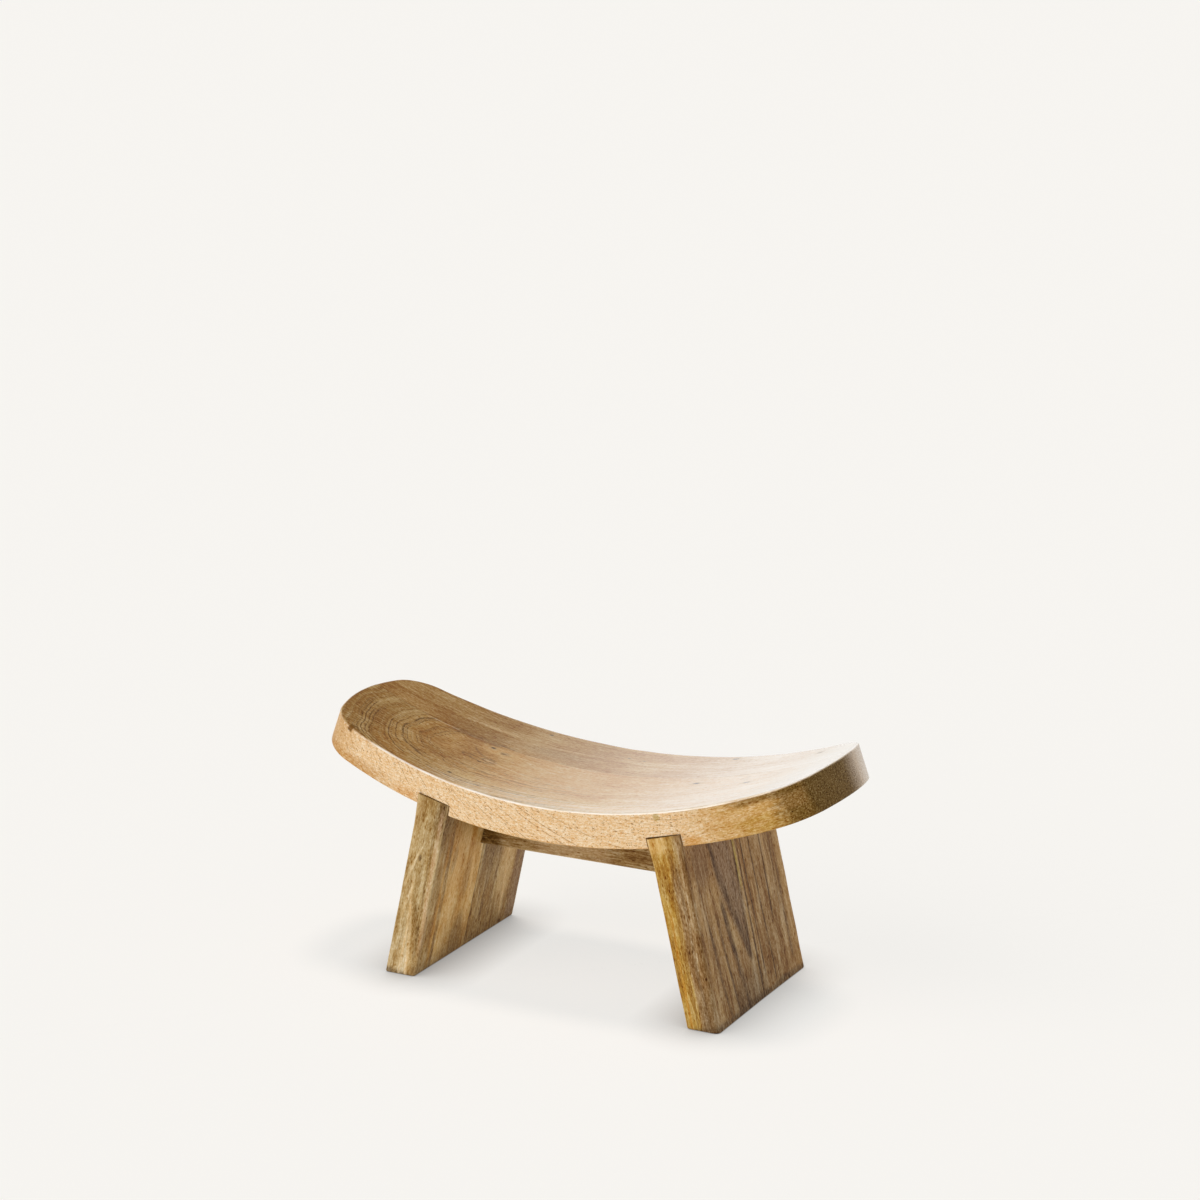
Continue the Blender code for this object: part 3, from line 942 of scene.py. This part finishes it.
def wood(name, look):
    """One wood: ground, growth, marks, fine grain, knots, wear with a painted edge highlight, last marks,
    gloss and relief.
    """
    made = Wood(name, look)
    bands = swing(noise_over(made.ring / look.band_size, 3, 0.6), 0.16)
    streaks = made.wave(look.streak_sizes, 0.15, 4, 0.6, made.bent)
    patches = made.wave(look.patch_sizes, 0.14)
    darkness = ring_lines(made)
    colour = look.ground
    for adjust in look.grounds:
        colour = adjust(made, colour)
    colour = deepened(colour, patches * look.patch + bands * look.band + streaks * look.streak)
    colour = tint(colour, look.line_tint, darkness)
    for adjust in look.adjust:
        colour = adjust(made, colour)

    fibres = made.wave(look.fibre_sizes, 0.14, 3, 0.7)
    grit = made.wave(look.grit_sizes, 0.14, 2, 0.7, made.bent)
    flecks = made.clouds(look.fleck_sizes, 0.56, 0.68, 2, 0.6, made.bent)
    vessels = pores(made, look.pore_sizes, look.pore_share)
    fine = fibres * look.fibre + grit * look.grit - flecks * look.fleck + vessels * look.pore
    colour, hearts = pin_knots(made, deepened(colour, fine))
    # Paler edges: wear, and on the seat a painted highlight along the arrises
    worn = ease(made.edge, *WEAR_AND_HIGHLIGHT_EDGE, look.worn, 0) * (made.mottle * 0.7 + 0.3)
    colour = tint(colour, look.worn_tint, worn)
    for adjust in look.last:
        colour = adjust(made, colour)

    inputs = made.shader.inputs
    feed(inputs["Base Color"], colour)
    feed(inputs["Roughness"], fibres * 0.05 + vessels * 0.2 + look.roughness)
    feed(inputs["Specular IOR Level"], look.specular)
    if look.coat_below:
        feed(inputs["Coat Roughness"], look.coat_roughness)
        feed(inputs["Coat IOR"], look.coat_ior)
        top = ease(made.depth, *look.coat_below, 1, 0)
        ends = ease(abs(made.along), *COATED_ENDS) * ease(made.across, *COATED_ENDS_ACROSS)
        feed(inputs["Coat Weight"], calc("MAXIMUM", top, ends) * (fibres * -0.06 + 0.94))
    height = fibres * -0.15 - streaks * 0.2 - vessels - darkness * 0.3 - hearts
    bump = put(height.tree, "Bump")
    for name, value in (("Strength", look.bump), ("Distance", BUMP_DISTANCE), ("Height", height)):
        feed(bump.inputs[name], value)
    feed(inputs["Normal"], Value(bump.outputs[0]))
    return made.material


# The rim shows end and quarter grain, so it looks paler and more speckled than the top
RIM_STARTS = (0.3, 2.2)
RIM_ENDS = (SEAT_THICKNESS / MM - 2, SEAT_THICKNESS / MM - 0.2)
RIM_SLANT = 0.5
RIM_SLANT_CHANGE = -0.0015
RIM_STREAK_SIZES = (30, 2.2, 2.2)
RIM_SPECK_SIZES = (1.6, 1.3, 1.3)
RIM_LINE_SPACING = 7
RIM_LINE_WIDTH = 0.13  # share of the spacing
RIM_LINE_BREAK_SIZES = (18, 8, 8)
RIM_DOT_SIZES = (2.3, 2, 2)
RIM_DASH_SIZES = (6, 2.1, 2.1)
RIM_LINE = 1.2
RIM_LINE_TINT = (0.47, 0.26, 0.1)
RIM_VESSEL = 0.9
RIM_VESSEL_TINT = (0.33, 0.165, 0.05)


def rim_grain(pale_tint, strength):
    """The seat's rim: paler wood, slanting streaks, faint slanting lines and many short dark vessels."""

    def adjust(made, colour):
        rim = ease(made.depth, *RIM_STARTS) * ease(made.depth, *RIM_ENDS, 1, 0)
        colour = tint(colour, pale_tint, rim * strength)
        s = made.bent_along
        level = made.bent_depth - s * (s * RIM_SLANT_CHANGE + RIM_SLANT)
        slanted = Value(fed("CombineXYZ", s, level, made.bent_across).outputs[0])
        streaks = made.wave(RIM_STREAK_SIZES, 0.15, 2, 0.5, slanted)
        specks = made.wave(RIM_SPECK_SIZES, 0.14, 1)
        colour = deepened(colour, (streaks * 0.09 + specks * 0.2) * rim)
        lines = thin_lines(level / RIM_LINE_SPACING, RIM_LINE_WIDTH)
        lines = lines * made.clouds(RIM_LINE_BREAK_SIZES, 0.36, 0.54)
        colour = tint(colour, RIM_LINE_TINT, lines * RIM_LINE * rim)
        dots = pores(made, RIM_DOT_SIZES, 0.7, None, (0.16, 0.38))
        dashes = pores(made, RIM_DASH_SIZES, 0.5, slanted, (0.14, 0.38))
        vessels = calc("MAXIMUM", dots, dashes)
        return tint(colour, RIM_VESSEL_TINT, vessels * RIM_VESSEL * rim)

    return adjust


SEAT_LOOK = dict(
    dressed=True,
    offset=(3.1, 7.7, 1.3),
    bend_sizes=(120, 50, 50),
    bend=9,
    fray=1.1,
    ragged=40,
    apex=-60,
    rise_before=0.0000036,
    rise_after=0.00012,
    lean=0,
    drift=0.02,
    pith_away=190,
    pith_across=-8,
    flat_ring_reach=(60, 110),
    ring_places=(),
    band_size=5,
    line_spacing=2.2,
    line_reach=0.24,
    random_lines=0.8,
    line_fade=(-60, 60),
    line_rest=0.2,
    streak_sizes=(60, 3, 3),
    fibre_sizes=(14, 1.4, 1.4),
    grit_sizes=(3.2, 1.5, 1.5),
    fleck_sizes=(9, 1.6, 1.6),
    patch_sizes=(90, 34, 34),
    pore_sizes=(6.5, 1.8, 1.8),
    pore_share=0.5,
    ground=(0.67, 0.385, 0.12),
    grounds=(),
    line_tint=(0.165, 0.068, 0.011),
    halo_tint=(0.52, 0.33, 0.13),
    knot_tint=(0.045, 0.018, 0.008),
    # The seat's strong, near-white edge tint is partly a painted highlight
    worn_tint=(0.96, 0.8, 0.57),
    patch=0.1,
    band=0.2,
    streak=0.1,
    fibre=0.17,
    grit=0.19,
    fleck=0.16,
    pore=0.8,
    worn=0.9,
    bump=0.6,
    roughness=0.36,
    specular=0.04,
    coat_roughness=0.12,
    coat_ior=1.9,
    coat_below=(0.6, 3),
    knots=(),
    adjust=(),
    last=(),
)

LEG_LOOK = dict(
    flat_ring_reach=(0, 1),
    line_rest=1,
    apex=0,
    rise_before=0,
    rise_after=0,
    lean=0.05,
    drift=0,
    pith_away=70,
    pith_across=40,
    specular=0.1,
    coat_below=None,
    roughness=0.5,
    random_lines=0.5,
    line_tint=(0.12, 0.055, 0.016),
    streak_sizes=(60, 7, 7),
    fibre_sizes=(11, 1.5, 1.5),
    fleck_sizes=(7, 1.8, 1.8),
    pore_sizes=(7, 2.2, 2.2),
    patch_sizes=(60, 22, 22),
    patch=0.12,
    band=0.08,
    streak=0.22,
    fibre=0.15,
    grit=0.16,
    fleck=0.15,
    pore=0.9,
    worn=0.35,
    worn_tint=(0.8, 0.6, 0.32),
)

PALE_RIM = (0.8, 0.565, 0.325)
DARK_BROWN = (0.2, 0.098, 0.018)
OLIVE_BROWN = (0.17, 0.085, 0.016)
GOLDEN = (0.56, 0.315, 0.085)
LIGHT_STREAK = (0.82, 0.58, 0.3)
RIM_END_BROWN = (0.158, 0.08, 0.014)
# Painted reflection: a pale tint for the lacquer's sheen on the right of the seat's top
PAINTED_SHEEN_PALE = (0.93, 0.83, 0.7)
# Painted highlight at the seat's ends, where the lacquer catches the light
PAINTED_END_HIGHLIGHT = (0.5, 0.35, 0.21)
# Painted highlight along the seat's front top arris
PAINTED_ARRIS_HIGHLIGHT = (1, 0.93, 0.83)
CHIP_BROWN = (0.19, 0.078, 0.008)
FOOT_BROWN = (0.1, 0.05, 0.018)

# Marks that both boards of the seat share
# Painted reflection: the top's right half paled almost to white, standing for the lacquer's sheen of the
# bright wall behind
PAINTED_SHEEN_RIGHT = (
    zone((("along", 20, 200), ON_TOP), PAINTED_SHEEN_PALE, 0.62, 0.1),
    zone((("along", 190, 270), ON_TOP), (1, 0.96, 0.9), 0.8, 0),
)
RIM_LEFT_END = zone((("ragged along", -225, -262), OFF_TOP), (0.57, 0.325, 0.118), 0.85)

SEAT_FRONT = dict(
    grounds=(
        zone((("along", -80, -165), ON_TOP), (0.475, 0.245, 0.056), 1, 0),
        zone((("along", -200, -240), ON_TOP), (0.36, 0.185, 0.042), 0.7, 0),
        zone((("along", -110, -50), ("along", 40, -20), ON_TOP), (0.78, 0.515, 0.24), 0.8, 0.2),
        *PAINTED_SHEEN_RIGHT,
        zone((("across", -84, -98), ("along", -170, -60), ON_TOP), (0.93, 0.74, 0.5), 0.6, 0.2),
        spot(-110, 5, 36, 14, (0.76, 0.5, 0.215), 0.9, "across", (ON_TOP,)),
    ),
    ring_places=(
        (-266, 0.6, 0.7, ("across", 0, -14)),
        (-262, 0.8, 0.9, ("across", -6, -18)),
        (-258, 0.8, 1, ("across", -6, -18)),
        (-253.5, 0.8, 0.9, ("across", -10, -24)),
        (-249.5, 0.7, 1, ("across", -14, -30)),
        (-238, 0.6, 0.35, ("across", -4, -30)),
        (-230, 0.9, 0.9, ("across", -4, -24)),
        (-226.5, 0.6, 0.6, ("across", -14, -34)),
        (-222, 0.7, 0.9, ("across", 4, -22)),
        (-213.5, 1.8, 0.95, ("along", -140, -180)),
        (-208, 0.8, 0.85, ("along", -140, -180)),
        (-203, 0.5, 0.35, ("across", 0, -30)),
        (-197, 0.7, 0.65, ("across", -20, -40)),
        (-190, 0.7, 0.6, ("along", -120, -160)),
        (-184, 0.7, 0.65, ("across", -26, -46)),
        (-176, 0.8, 0.6, ("along", -110, -140)),
        (-168, 0.7, 0.65, ("across", -22, -40)),
        (-158, 0.9, 0.6, ("across", -30, -46)),
        (-141, 1.6, 0.8, ("across", 12, 2), ("along", -98, -112)),
        (-136, 1, 0.6, ("across", 12, 2), ("along", -98, -112)),
    ),
    knots=(
        (-125, 9, 2.4, 0.9),
        (-125, -85, 2.3, 0.8),
        (115, 1.3, 3, 0.95),
        (181, -16, 3, 0.95),
    ),
    adjust=(
        stripe((19, 19, 0), 3.6, (-185, -118), (0.27, 0.125, 0.028), 0.75),
        stripe((20.5, 20, 0), 1, (-215, -172), LIGHT_STREAK, 0.6),
        stripe((21.6, 21.6, 0), 0.7, (-280, 60), (0.22, 0.1, 0.025), 0.7),
        zone((("along", -185, -160), ("along", -130, -165), ("across", -46, -30), ("across", 16, 2)),
             (0.66, 0.38, 0.115), 0.7, 0.6),
        stripe((-24, -38, 0), 1.2, (-122, -50), LIGHT_STREAK, 0.8),
        stripe((1, -11, 0), 1.2, (-84, -34), LIGHT_STREAK, 0.75),
        stripe((-2, -24, -4), 1.6, (-142, -104), (0.25, 0.115, 0.028), 0.8),
        rim_grain(PALE_RIM, 0.97),
        zone((("ragged along", 130, 205), OFF_TOP), GOLDEN, 0.9),
        zone((("ragged along", 184, 212), ("depth", 13, 5), OFF_TOP), DARK_BROWN, 0.85),
        zone((("ragged along", 215, 245), ("depth", 24, 32)), OLIVE_BROWN, 0.4),
        zone((("ragged along", 188, 215), ("depth", 16, 26)), (0.46, 0.25, 0.045), 0.7),
        zone((("ragged along", 232, 258), OFF_TOP), RIM_END_BROWN, 0.95, 0.1),
        zone((("along", 244, 254), ("along", 272, 264), ("depth", 6, 11), ("depth", 27, 22)),
             (0.34, 0.185, 0.055), 0.6),
        zone((("along", 266, 273), OFF_TOP), (0.13, 0.074, 0.02), 0.8, 0.1),
        # Painted highlight on the front board's right end
        zone((("along", 270, 276), ("across", -12, 36), OFF_TOP), PAINTED_END_HIGHLIGHT, 0.9, 0.1),
        spot(155, 33, 13, 6, (0.62, 0.31, 0.075), 0.7, "depth", (OFF_TOP,)),
        spot(122, 5, 4.5, 5, (0.42, 0.3, 0.08), 0.6, "depth", (OFF_TOP,)),
        RIM_LEFT_END,
        zone((("ragged along", -165, -215), ("depth", 20, 34)), (0.52, 0.265, 0.075), 0.8),
        zone((("along", -185, -165), ("along", -144, -152), ("depth", 24, 32)), (0.62, 0.31, 0.09), 0.6),
    ),
    last=(
        # Painted highlight: the front top arris made nearly white, as a thin line of light
        zone((("edge", 2.6, 1.4), ("across", -60, -74), ("along", -222, -196), ("along", 215, 170)),
             PAINTED_ARRIS_HIGHLIGHT, 0.85),
        zone((("along", -248.5, -246.5), ("along", -240.5, -242.5), ON_FRONT_EDGE, ("true depth", 6, 4)),
             CHIP_BROWN, 0.95, 0),
    ),
)

SEAT_REAR = dict(
    offset=(9.4, 2.2, 5.6),
    band=0.1,
    patch=0.18,
    pith_across=-190,
    pith_away=90,
    rise_before=0.000002,
    grounds=(
        zone((("along", -60, -165), ON_TOP), (0.43, 0.22, 0.054), 1, 0),
        zone((("along", -130, -70), ("along", 20, -40), ON_TOP), (0.56, 0.335, 0.125), 0.7, 0.2),
        *PAINTED_SHEEN_RIGHT,
    ),
    ground=(0.58, 0.325, 0.105),
    random_lines=0.25,
    knots=(
        (117, 95, 3, 0.95),
        (227, 67, 2.6, 0.8),
        (-100, 95, 2.2, 0.7),
        (2, 77, 1.6, 0.6),
        (20, 75, 1.4, 0.6),
    ),
    adjust=(
        stripe((25, 24, 0), 3, (-186, -104), (0.24, 0.11, 0.026), 0.7),
        stripe((22.4, 22.4, 0), 0.7, (-280, 60), (0.22, 0.1, 0.025), 0.7),
        stripe((60, 62, 0), 3, (-182, -118), LIGHT_STREAK, 0.5),
        stripe((50, 66, 2), 1.5, (-120, -20), (0.8, 0.58, 0.32), 0.4),
        spot(-158, 38, 46, 18, (0.36, 0.18, 0.045), 0.55),
        spot(-235, 30, 40, 16, (0.52, 0.29, 0.085), 0.5),
        spot(-70, 45, 46, 14, (0.46, 0.28, 0.11), 0.4),
        rim_grain((0.74, 0.52, 0.29), 0.9),
        RIM_LEFT_END,
        zone((("ragged along", 232, 262), OFF_TOP), RIM_END_BROWN, 0.92),
        # Painted highlight on the rear board's right end
        zone((("along", 258, 268), ("across", -12, 36), ("across", 84, 66), OFF_TOP), PAINTED_END_HIGHLIGHT, 0.9, 0.1),
    ),
)

LEFT_LEG = dict(
    LEG_LOOK,
    offset=(1.7, 4.4, 8.8),
    ground=(0.6, 0.355, 0.104),
    patch_sizes=(44, 15, 15),
    patch=0.26,
    streak=0.12,
    band=0.05,
    grounds=(
        zone((FRONT_FACE,), (0.42, 0.268, 0.1), 1, 0),
        zone((FRONT_FACE, ("along", 70, 10)), (0.66, 0.46, 0.215), 0.9, 0.2),
        zone((("across", -80, -90), ("across", -108, -104)), (0.34, 0.205, 0.066), 0.9, 0.3),
        zone((("across", -3.6, -2.4),), (0.36, 0.205, 0.056), 1, 0.1),
    ),
    adjust=(
        stripe((-80, -84, 6), 3.5, (-10, 190), (0.22, 0.115, 0.03), 0.85),
        spot(92, -56, 60, 13, (0.72, 0.46, 0.17), 0.7),
        spot(24, -58, 30, 9, (0.66, 0.44, 0.18), 0.5),
        spot(22, -28, 42, 17, (0.3, 0.158, 0.036), 0.85),
        spot(96, -30, 30, 8, (0.38, 0.205, 0.055), 0.6),
        spot(128, -66, 22, 6, (0.42, 0.25, 0.085), 0.6),
        stripe((-14, -24, 2), 3, (30, 130), (0.74, 0.49, 0.2), 0.7, soft=0.8),
        stripe((-44, -36, 2), 2.6, (40, 120), (0.4, 0.215, 0.055), 0.5, soft=0.9),
        zone((("along", 64, 6), ("across", -70, -44)), (0.21, 0.115, 0.032), 0.6),
        stripe((-3.2, -3.2, 0), 1, (-10, 215), (0.15, 0.07, 0.018), 0.75),
        zone((("across", -2, 4), ("across", 52, 38), ("along", 50, 120)), (0.2, 0.108, 0.032), 0.85),
        stripe((22, 26, 0), 4, (10, 200), (0.2, 0.105, 0.03), 0.75),
        stripe((40, 46, 0), 3, (-10, 190), (0.23, 0.12, 0.034), 0.65),
        stripe((10, 12, 0), 2.4, (-10, 120), (0.24, 0.13, 0.04), 0.55),
        spot(96, 66, 80, 22, (0.58, 0.375, 0.15), 0.8),
        stripe((72, 60, 0), 2.4, (10, 130), (0.7, 0.48, 0.22), 0.7, soft=0.8),
        zone((("across", 80, 92),), (0.25, 0.145, 0.075), 0.75),
        # Painted shade: the inner face darkened near its top, under the seat
        zone((("along", 135, 192), ("depth", 0, -14)), (0.13, 0.066, 0.02), 0.85),
        zone((("along", 26, 0), ("depth", 0, -14)), (0.2, 0.105, 0.03), 0.6),
        zone((("along", 7, 1),), FOOT_BROWN, 0.7),
        front_stripe((-6, 4, 0), 1.6, (-10, 90), LIGHT_STREAK, 0.6),
        front_stripe((3, 5, 0), 1.4, (-10, 120), LIGHT_STREAK, 0.5),
        front_stripe((10, 15, 0), 4, (50, 215), (0.6, 0.41, 0.185), 0.45, soft=0.8),
        front_stripe((-3, -1, 0), 1.6, (90, 210), (0.25, 0.15, 0.05), 0.3),
        front_stripe((-15, -3, 0), 3, (0, 90), (0.22, 0.13, 0.045), 0.75, soft=0.8),
        front_stripe((16, 2, 0), 1.5, (95, 150), (0.78, 0.6, 0.34), 0.6),
        front_stripe((14, 4, 0), 1.5, (60, 105), (0.78, 0.6, 0.34), 0.5),
        spot(136, 2, 5, 2.4, (0.16, 0.085, 0.028), 0.85, "depth", (FRONT_FACE,)),
        front_stripe((-14.5, -14, 0), 2, (20, 200), (0.58, 0.36, 0.2), 0.5),
        front_stripe((-10, -9, 0), 1.2, (20, 200), (0.24, 0.14, 0.05), 0.6),
    ),
)

RIGHT_LEG = dict(
    LEG_LOOK,
    offset=(6.1, 0.4, 3.8),
    ground=(0.35, 0.2, 0.074),
    grounds=(
        zone((FRONT_FACE,), (0.29, 0.163, 0.06), 1, 0),
        zone((FRONT_FACE, ("depth", 2, -3)), (0.46, 0.255, 0.04), 0.9, 0.3),
        zone((FRONT_FACE, ("along", 150, 180), ("depth", 14, 6)), (0.5, 0.29, 0.065), 0.8, 0.3),
        # Painted highlight: a thin light line at the top of the front face, just under the seat
        zone((FRONT_FACE, ("along", 180, 190), ("depth", 4, -3)), (0.7, 0.43, 0.15), 0.6, 0),
        zone((FRONT_FACE, ("along", 60, 12), ("depth", 0, 6)), (0.175, 0.1, 0.04), 0.7, 0.3),
    ),
    streak=0.26,
    worn=0.15,
    adjust=(
        spot(150, -24, 66, 26, (0.25, 0.155, 0.082), 0.85),
        spot(100, -13, 44, 13, (0.25, 0.155, 0.082), 0.8),
        spot(166, -72, 40, 22, (0.235, 0.132, 0.056), 0.7),
        stripe((-26, -62, -1), 6, (56, 150), (0.48, 0.305, 0.125), 0.75, soft=0.8),
        stripe((-30, -17, 0), 1.4, (80, 200), (0.33, 0.205, 0.105), 0.5),
        stripe((-16, -12, 0), 1.2, (70, 200), (0.17, 0.098, 0.045), 0.5),
        stripe((-2, -54, -5), 5, (36, 200), (0.105, 0.052, 0.02), 1, soft=0.8),
        stripe((-9, 0, 3), 3.6, (36, 205), (0.105, 0.052, 0.02), 1, soft=0.8),
        spot(56, -6.5, 16, 4, (0.11, 0.055, 0.022), 0.9),
        stripe((-22, -46, -3), 4, (-25, 125), (0.1, 0.05, 0.02), 1, soft=0.6),
        stripe((-48, -60, -2), 2.2, (-20, 110), (0.12, 0.062, 0.024), 0.9),
        stripe((-66, -82, -3), 2.4, (-10, 110), (0.135, 0.07, 0.026), 0.85),
        stripe((-33, -50, -2), 1.4, (-10, 90), (0.44, 0.275, 0.12), 0.7),
        stripe((-52, -70, -3), 3, (-10, 150), (0.54, 0.345, 0.14), 0.6),
        stripe((-86, -98, -2), 3.5, (-10, 170), (0.52, 0.325, 0.13), 0.6),
        stripe((-74, -90, -3), 2, (60, 190), (0.165, 0.088, 0.034), 0.7),
        stripe((8, 8, 0), 1.6, (-10, 205), (0.085, 0.042, 0.016), 0.95),
        stripe((4, 4, 0), 1.6, (-10, 110), (0.48, 0.31, 0.125), 0.6),
        stripe((2.5, 1.5, 0), 2.2, (110, 195), (0.55, 0.4, 0.1), 0.8),
        stripe((19, 17, 1), 1.3, (10, 200), (0.095, 0.048, 0.018), 0.95),
        stripe((27, 26, 1), 1.6, (60, 200), (0.5, 0.315, 0.13), 0.7),
        stripe((12.5, 12, 0), 1.5, (50, 160), (0.48, 0.305, 0.13), 0.6),
        spot(146, 42, 26, 12, (0.42, 0.265, 0.11), 0.5),
        stripe((84, 88, 0), 3, (10, 120), (0.155, 0.083, 0.032), 0.7, soft=0.8),
        zone((("along", 50, 6), ("across", -70, -44), ("across", 26, 6)), (0.135, 0.072, 0.028), 0.65),
        stripe((38, 36, 1), 1.3, (-10, 190), (0.11, 0.057, 0.021), 0.85),
        stripe((56, 60, 1), 1.5, (60, 205), (0.1, 0.051, 0.019), 0.95),
        stripe((63, 67, 1), 1.4, (80, 200), (0.56, 0.36, 0.16), 0.7),
        stripe((78, 80, 1), 1.5, (60, 200), (0.14, 0.073, 0.027), 0.7),
        zone((("across", 84, 98),), (0.42, 0.245, 0.085), 0.6),
        stripe((104, 100, 0), 3, (110, 210), (0.62, 0.42, 0.2), 0.6),
        zone((("along", 6, 1),), FOOT_BROWN, 0.7),
        front_stripe((-11, -10, 0), 1.4, (-10, 130), (0.48, 0.215, 0.022), 0.8),
        front_stripe((-4, -2, 0), 1.4, (-10, 160), (0.24, 0.12, 0.03), 0.6),
        front_stripe((8, 7, 0), 1.8, (-10, 190), (0.2, 0.12, 0.055), 0.6),
    ),
)

RAIL = dict(
    LEG_LOOK,
    offset=(2.6, 6.6, 0.9),
    lean=0.03,
    pith_away=60,
    pith_across=10,
    ground=(0.325, 0.198, 0.07),
    streak_sizes=(45, 2.4, 2.4),
    streak=0.3,
    band=0.2,
    knots=((-113, 28, 3, 0.9), (-98, 18, 2.4, 0.8), (-108, 24, 2.2, 0.6)),
    adjust=(
        zone((("along", -75, -50), ("along", 35, 10)), (0.5, 0.34, 0.17), 0.75),
        # Painted shadow: the rail's left end darkened where it meets the left leg
        spot(-120, 8, 22, 60, (0.125, 0.06, 0.009), 0.9),
    ),
)

DOWEL = dict(
    LEG_LOOK,
    dressed=False,
    offset=(0.3, 5.1, 2.7),
    ground=(0.62, 0.435, 0.23),
    roughness=0.65,
    worn=0,
)

LOOKS = {
    "seat_front": SEAT_FRONT,
    "seat_rear": SEAT_REAR,
    "left_leg": LEFT_LEG,
    "right_leg": RIGHT_LEG,
    "rail": RAIL,
    "dowel": DOWEL,
}


def material_for(name):
    return wood(f"{name}_wood", SimpleNamespace(**{**SEAT_LOOK, **LOOKS[name]}))


def dress_dowels(material):
    """The hidden dowels keep their CAD shape and get bare wood, patterned by their own place."""
    for name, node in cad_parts.items():
        if "dowel" in name:
            node.data.materials.clear()
            node.data.materials.append(material)


def build_stool():
    for place, facing in FACINGS.items():
        name = f"seat_{place}"
        seat_board(f"{name}_board", facing, material_for(name))
    for side_name in SIDES:
        name = f"{side_name}_leg"
        leg_wood = material_for(name)
        for place, facing in FACINGS.items():
            leg_board(f"{name}_{place}_board", side_name, facing, leg_wood)
    rail_board("stretcher_rail", material_for("rail"))
    dress_dowels(material_for("dowel"))


# Studio
FLOOR_HALF_SIZE = 60
FLOOR_DROP = 0.0001  # below the feet, so that the floor and the feet don't share a plane
FLOOR_GLOW = (0.699, 0.712, 0.703)
FLOOR_TINT = (0.265, 0.228, 0.199)
# Painted contact shadow: the floor's glow is dimmed by ambient occlusion near the feet
CONTACT_SHADOW_REACH = 0.066  # how far from the feet the floor darkens
CONTACT_SHADOW_SHARE = 0.92
CONTACT_SHADOW_SAMPLES = 16
FLOOR_COLOUR = (0.9216, 0.9047, 0.8714)


def add_floor():
    half = FLOOR_HALF_SIZE
    corners = [(x, y, -FLOOR_DROP) for x, y in ((-half, -half), (half, -half), (half, half), (-half, half))]
    floor = new_object("floor", new_mesh("floor", corners, [(0, 1, 2, 3)]))
    material = bpy.data.materials.new("floor")
    material.use_nodes = True
    # The floor's glow, dimmed near the feet by ambient occlusion: a painted contact shadow
    contact_shadow = put(material.node_tree, "AmbientOcclusion", samples=CONTACT_SHADOW_SAMPLES)
    feed(contact_shadow.inputs["Distance"], CONTACT_SHADOW_REACH)
    shader = material.node_tree.nodes["Principled BSDF"]
    settings = {
        "Base Color": FLOOR_TINT,
        "Roughness": 1,
        "Specular IOR Level": 0,
        "Emission Color": FLOOR_GLOW,
        "Emission Strength": Value(contact_shadow.outputs["AO"]) * CONTACT_SHADOW_SHARE + (1 - CONTACT_SHADOW_SHARE),
    }
    for name, value in settings.items():
        feed(shader.inputs[name], value)
    floor.data.materials.append(material)


def direction(azimuth, elevation):
    """Unit vector towards a place in the studio. Azimuth 0 is in front, and 90 on the right."""
    a = math.radians(azimuth)
    e = math.radians(elevation)
    return Vector((math.sin(a) * math.cos(e), -math.cos(a) * math.cos(e), math.sin(e)))


OVERHEAD_SUN = (150, 82, 1.2, 13)  # azimuth, elevation, strength, and how wide it looks


def add_sun(name, azimuth, elevation, strength, angle):
    light = bpy.data.lights.new(name, "SUN")
    light.energy = strength
    light.angle = math.radians(angle)
    sun = new_object(name, light)
    sun.rotation_euler = direction(azimuth, elevation).to_track_quat("Z", "Y").to_euler()
    sun.visible_glossy = False


# The bright wall behind: its radiance, and the elevations where it starts to fade and is gone
BACK_WALL = 1.3
BACK_WALL_TOP = (12, 31)
BACK_WALL_ENDS = (-0.15, 0.45)  # share of the way from the sides to straight behind

# Soft boxes: azimuth, elevation, radiance, and the angles from their middle where they fade and end
SOFT_BOXES = (
    (-30, 20, 2.6, 16, 50),
    (70, 20, 0.35, 20, 60),
)
ROOM_GLOW = 0.12


def add_studio_walls():
    world = bpy.data.worlds.new("studio")
    bpy.context.scene.world = world
    world.use_nodes = True
    tree = world.node_tree
    tree.nodes.clear()
    towards = Value(put(tree, "TexCoord").outputs["Generated"])
    _, back, up = parts(towards)
    full, gone = (math.sin(math.radians(angle)) for angle in BACK_WALL_TOP)
    light = ease(up, full, gone, BACK_WALL, 0) * ease(back, *BACK_WALL_ENDS) + ROOM_GLOW
    for azimuth, elevation, radiance, inner, outer in SOFT_BOXES:
        facing = fed("VectorMath", towards, direction(azimuth, elevation), operation="DOT_PRODUCT")
        full, fade = (math.cos(math.radians(angle)) for angle in (inner, outer))
        light += ease(Value(facing.outputs[1]), fade, full, 0, radiance)
    glow = put(tree, "Background")
    feed(glow.inputs["Strength"], light)
    plain = put(tree, "Background")
    feed(plain.inputs["Color"], FLOOR_COLOUR)
    seen = put(tree, "LightPath").outputs["Is Camera Ray"]
    mix = fed("MixShader", Value(seen), Value(glow.outputs[0]), Value(plain.outputs[0]))
    fed("OutputWorld", Value(mix.outputs[0]))


def add_camera():
    back = direction(CAMERA_AZIMUTH, CAMERA_ELEVATION)
    right = direction(CAMERA_AZIMUTH + 90, 0)
    up = back.cross(right)
    data = bpy.data.cameras.new("camera")
    data.sensor_width = CAMERA_SENSOR
    data.lens = CAMERA_LENS
    data.clip_end = 200
    camera = new_object("camera", data)
    camera.matrix_world = Matrix((right, up, back)).transposed().to_4x4()
    camera.location = CAMERA_DISTANCE * back + CAMERA_RIGHT_OF_ORIGIN * right + CAMERA_ABOVE_ORIGIN * up
    bpy.context.scene.camera = camera


build_stool()
add_floor()
add_sun("overhead", *OVERHEAD_SUN)
add_studio_walls()
add_camera()
bpy.context.scene.view_settings.view_transform = "Standard"
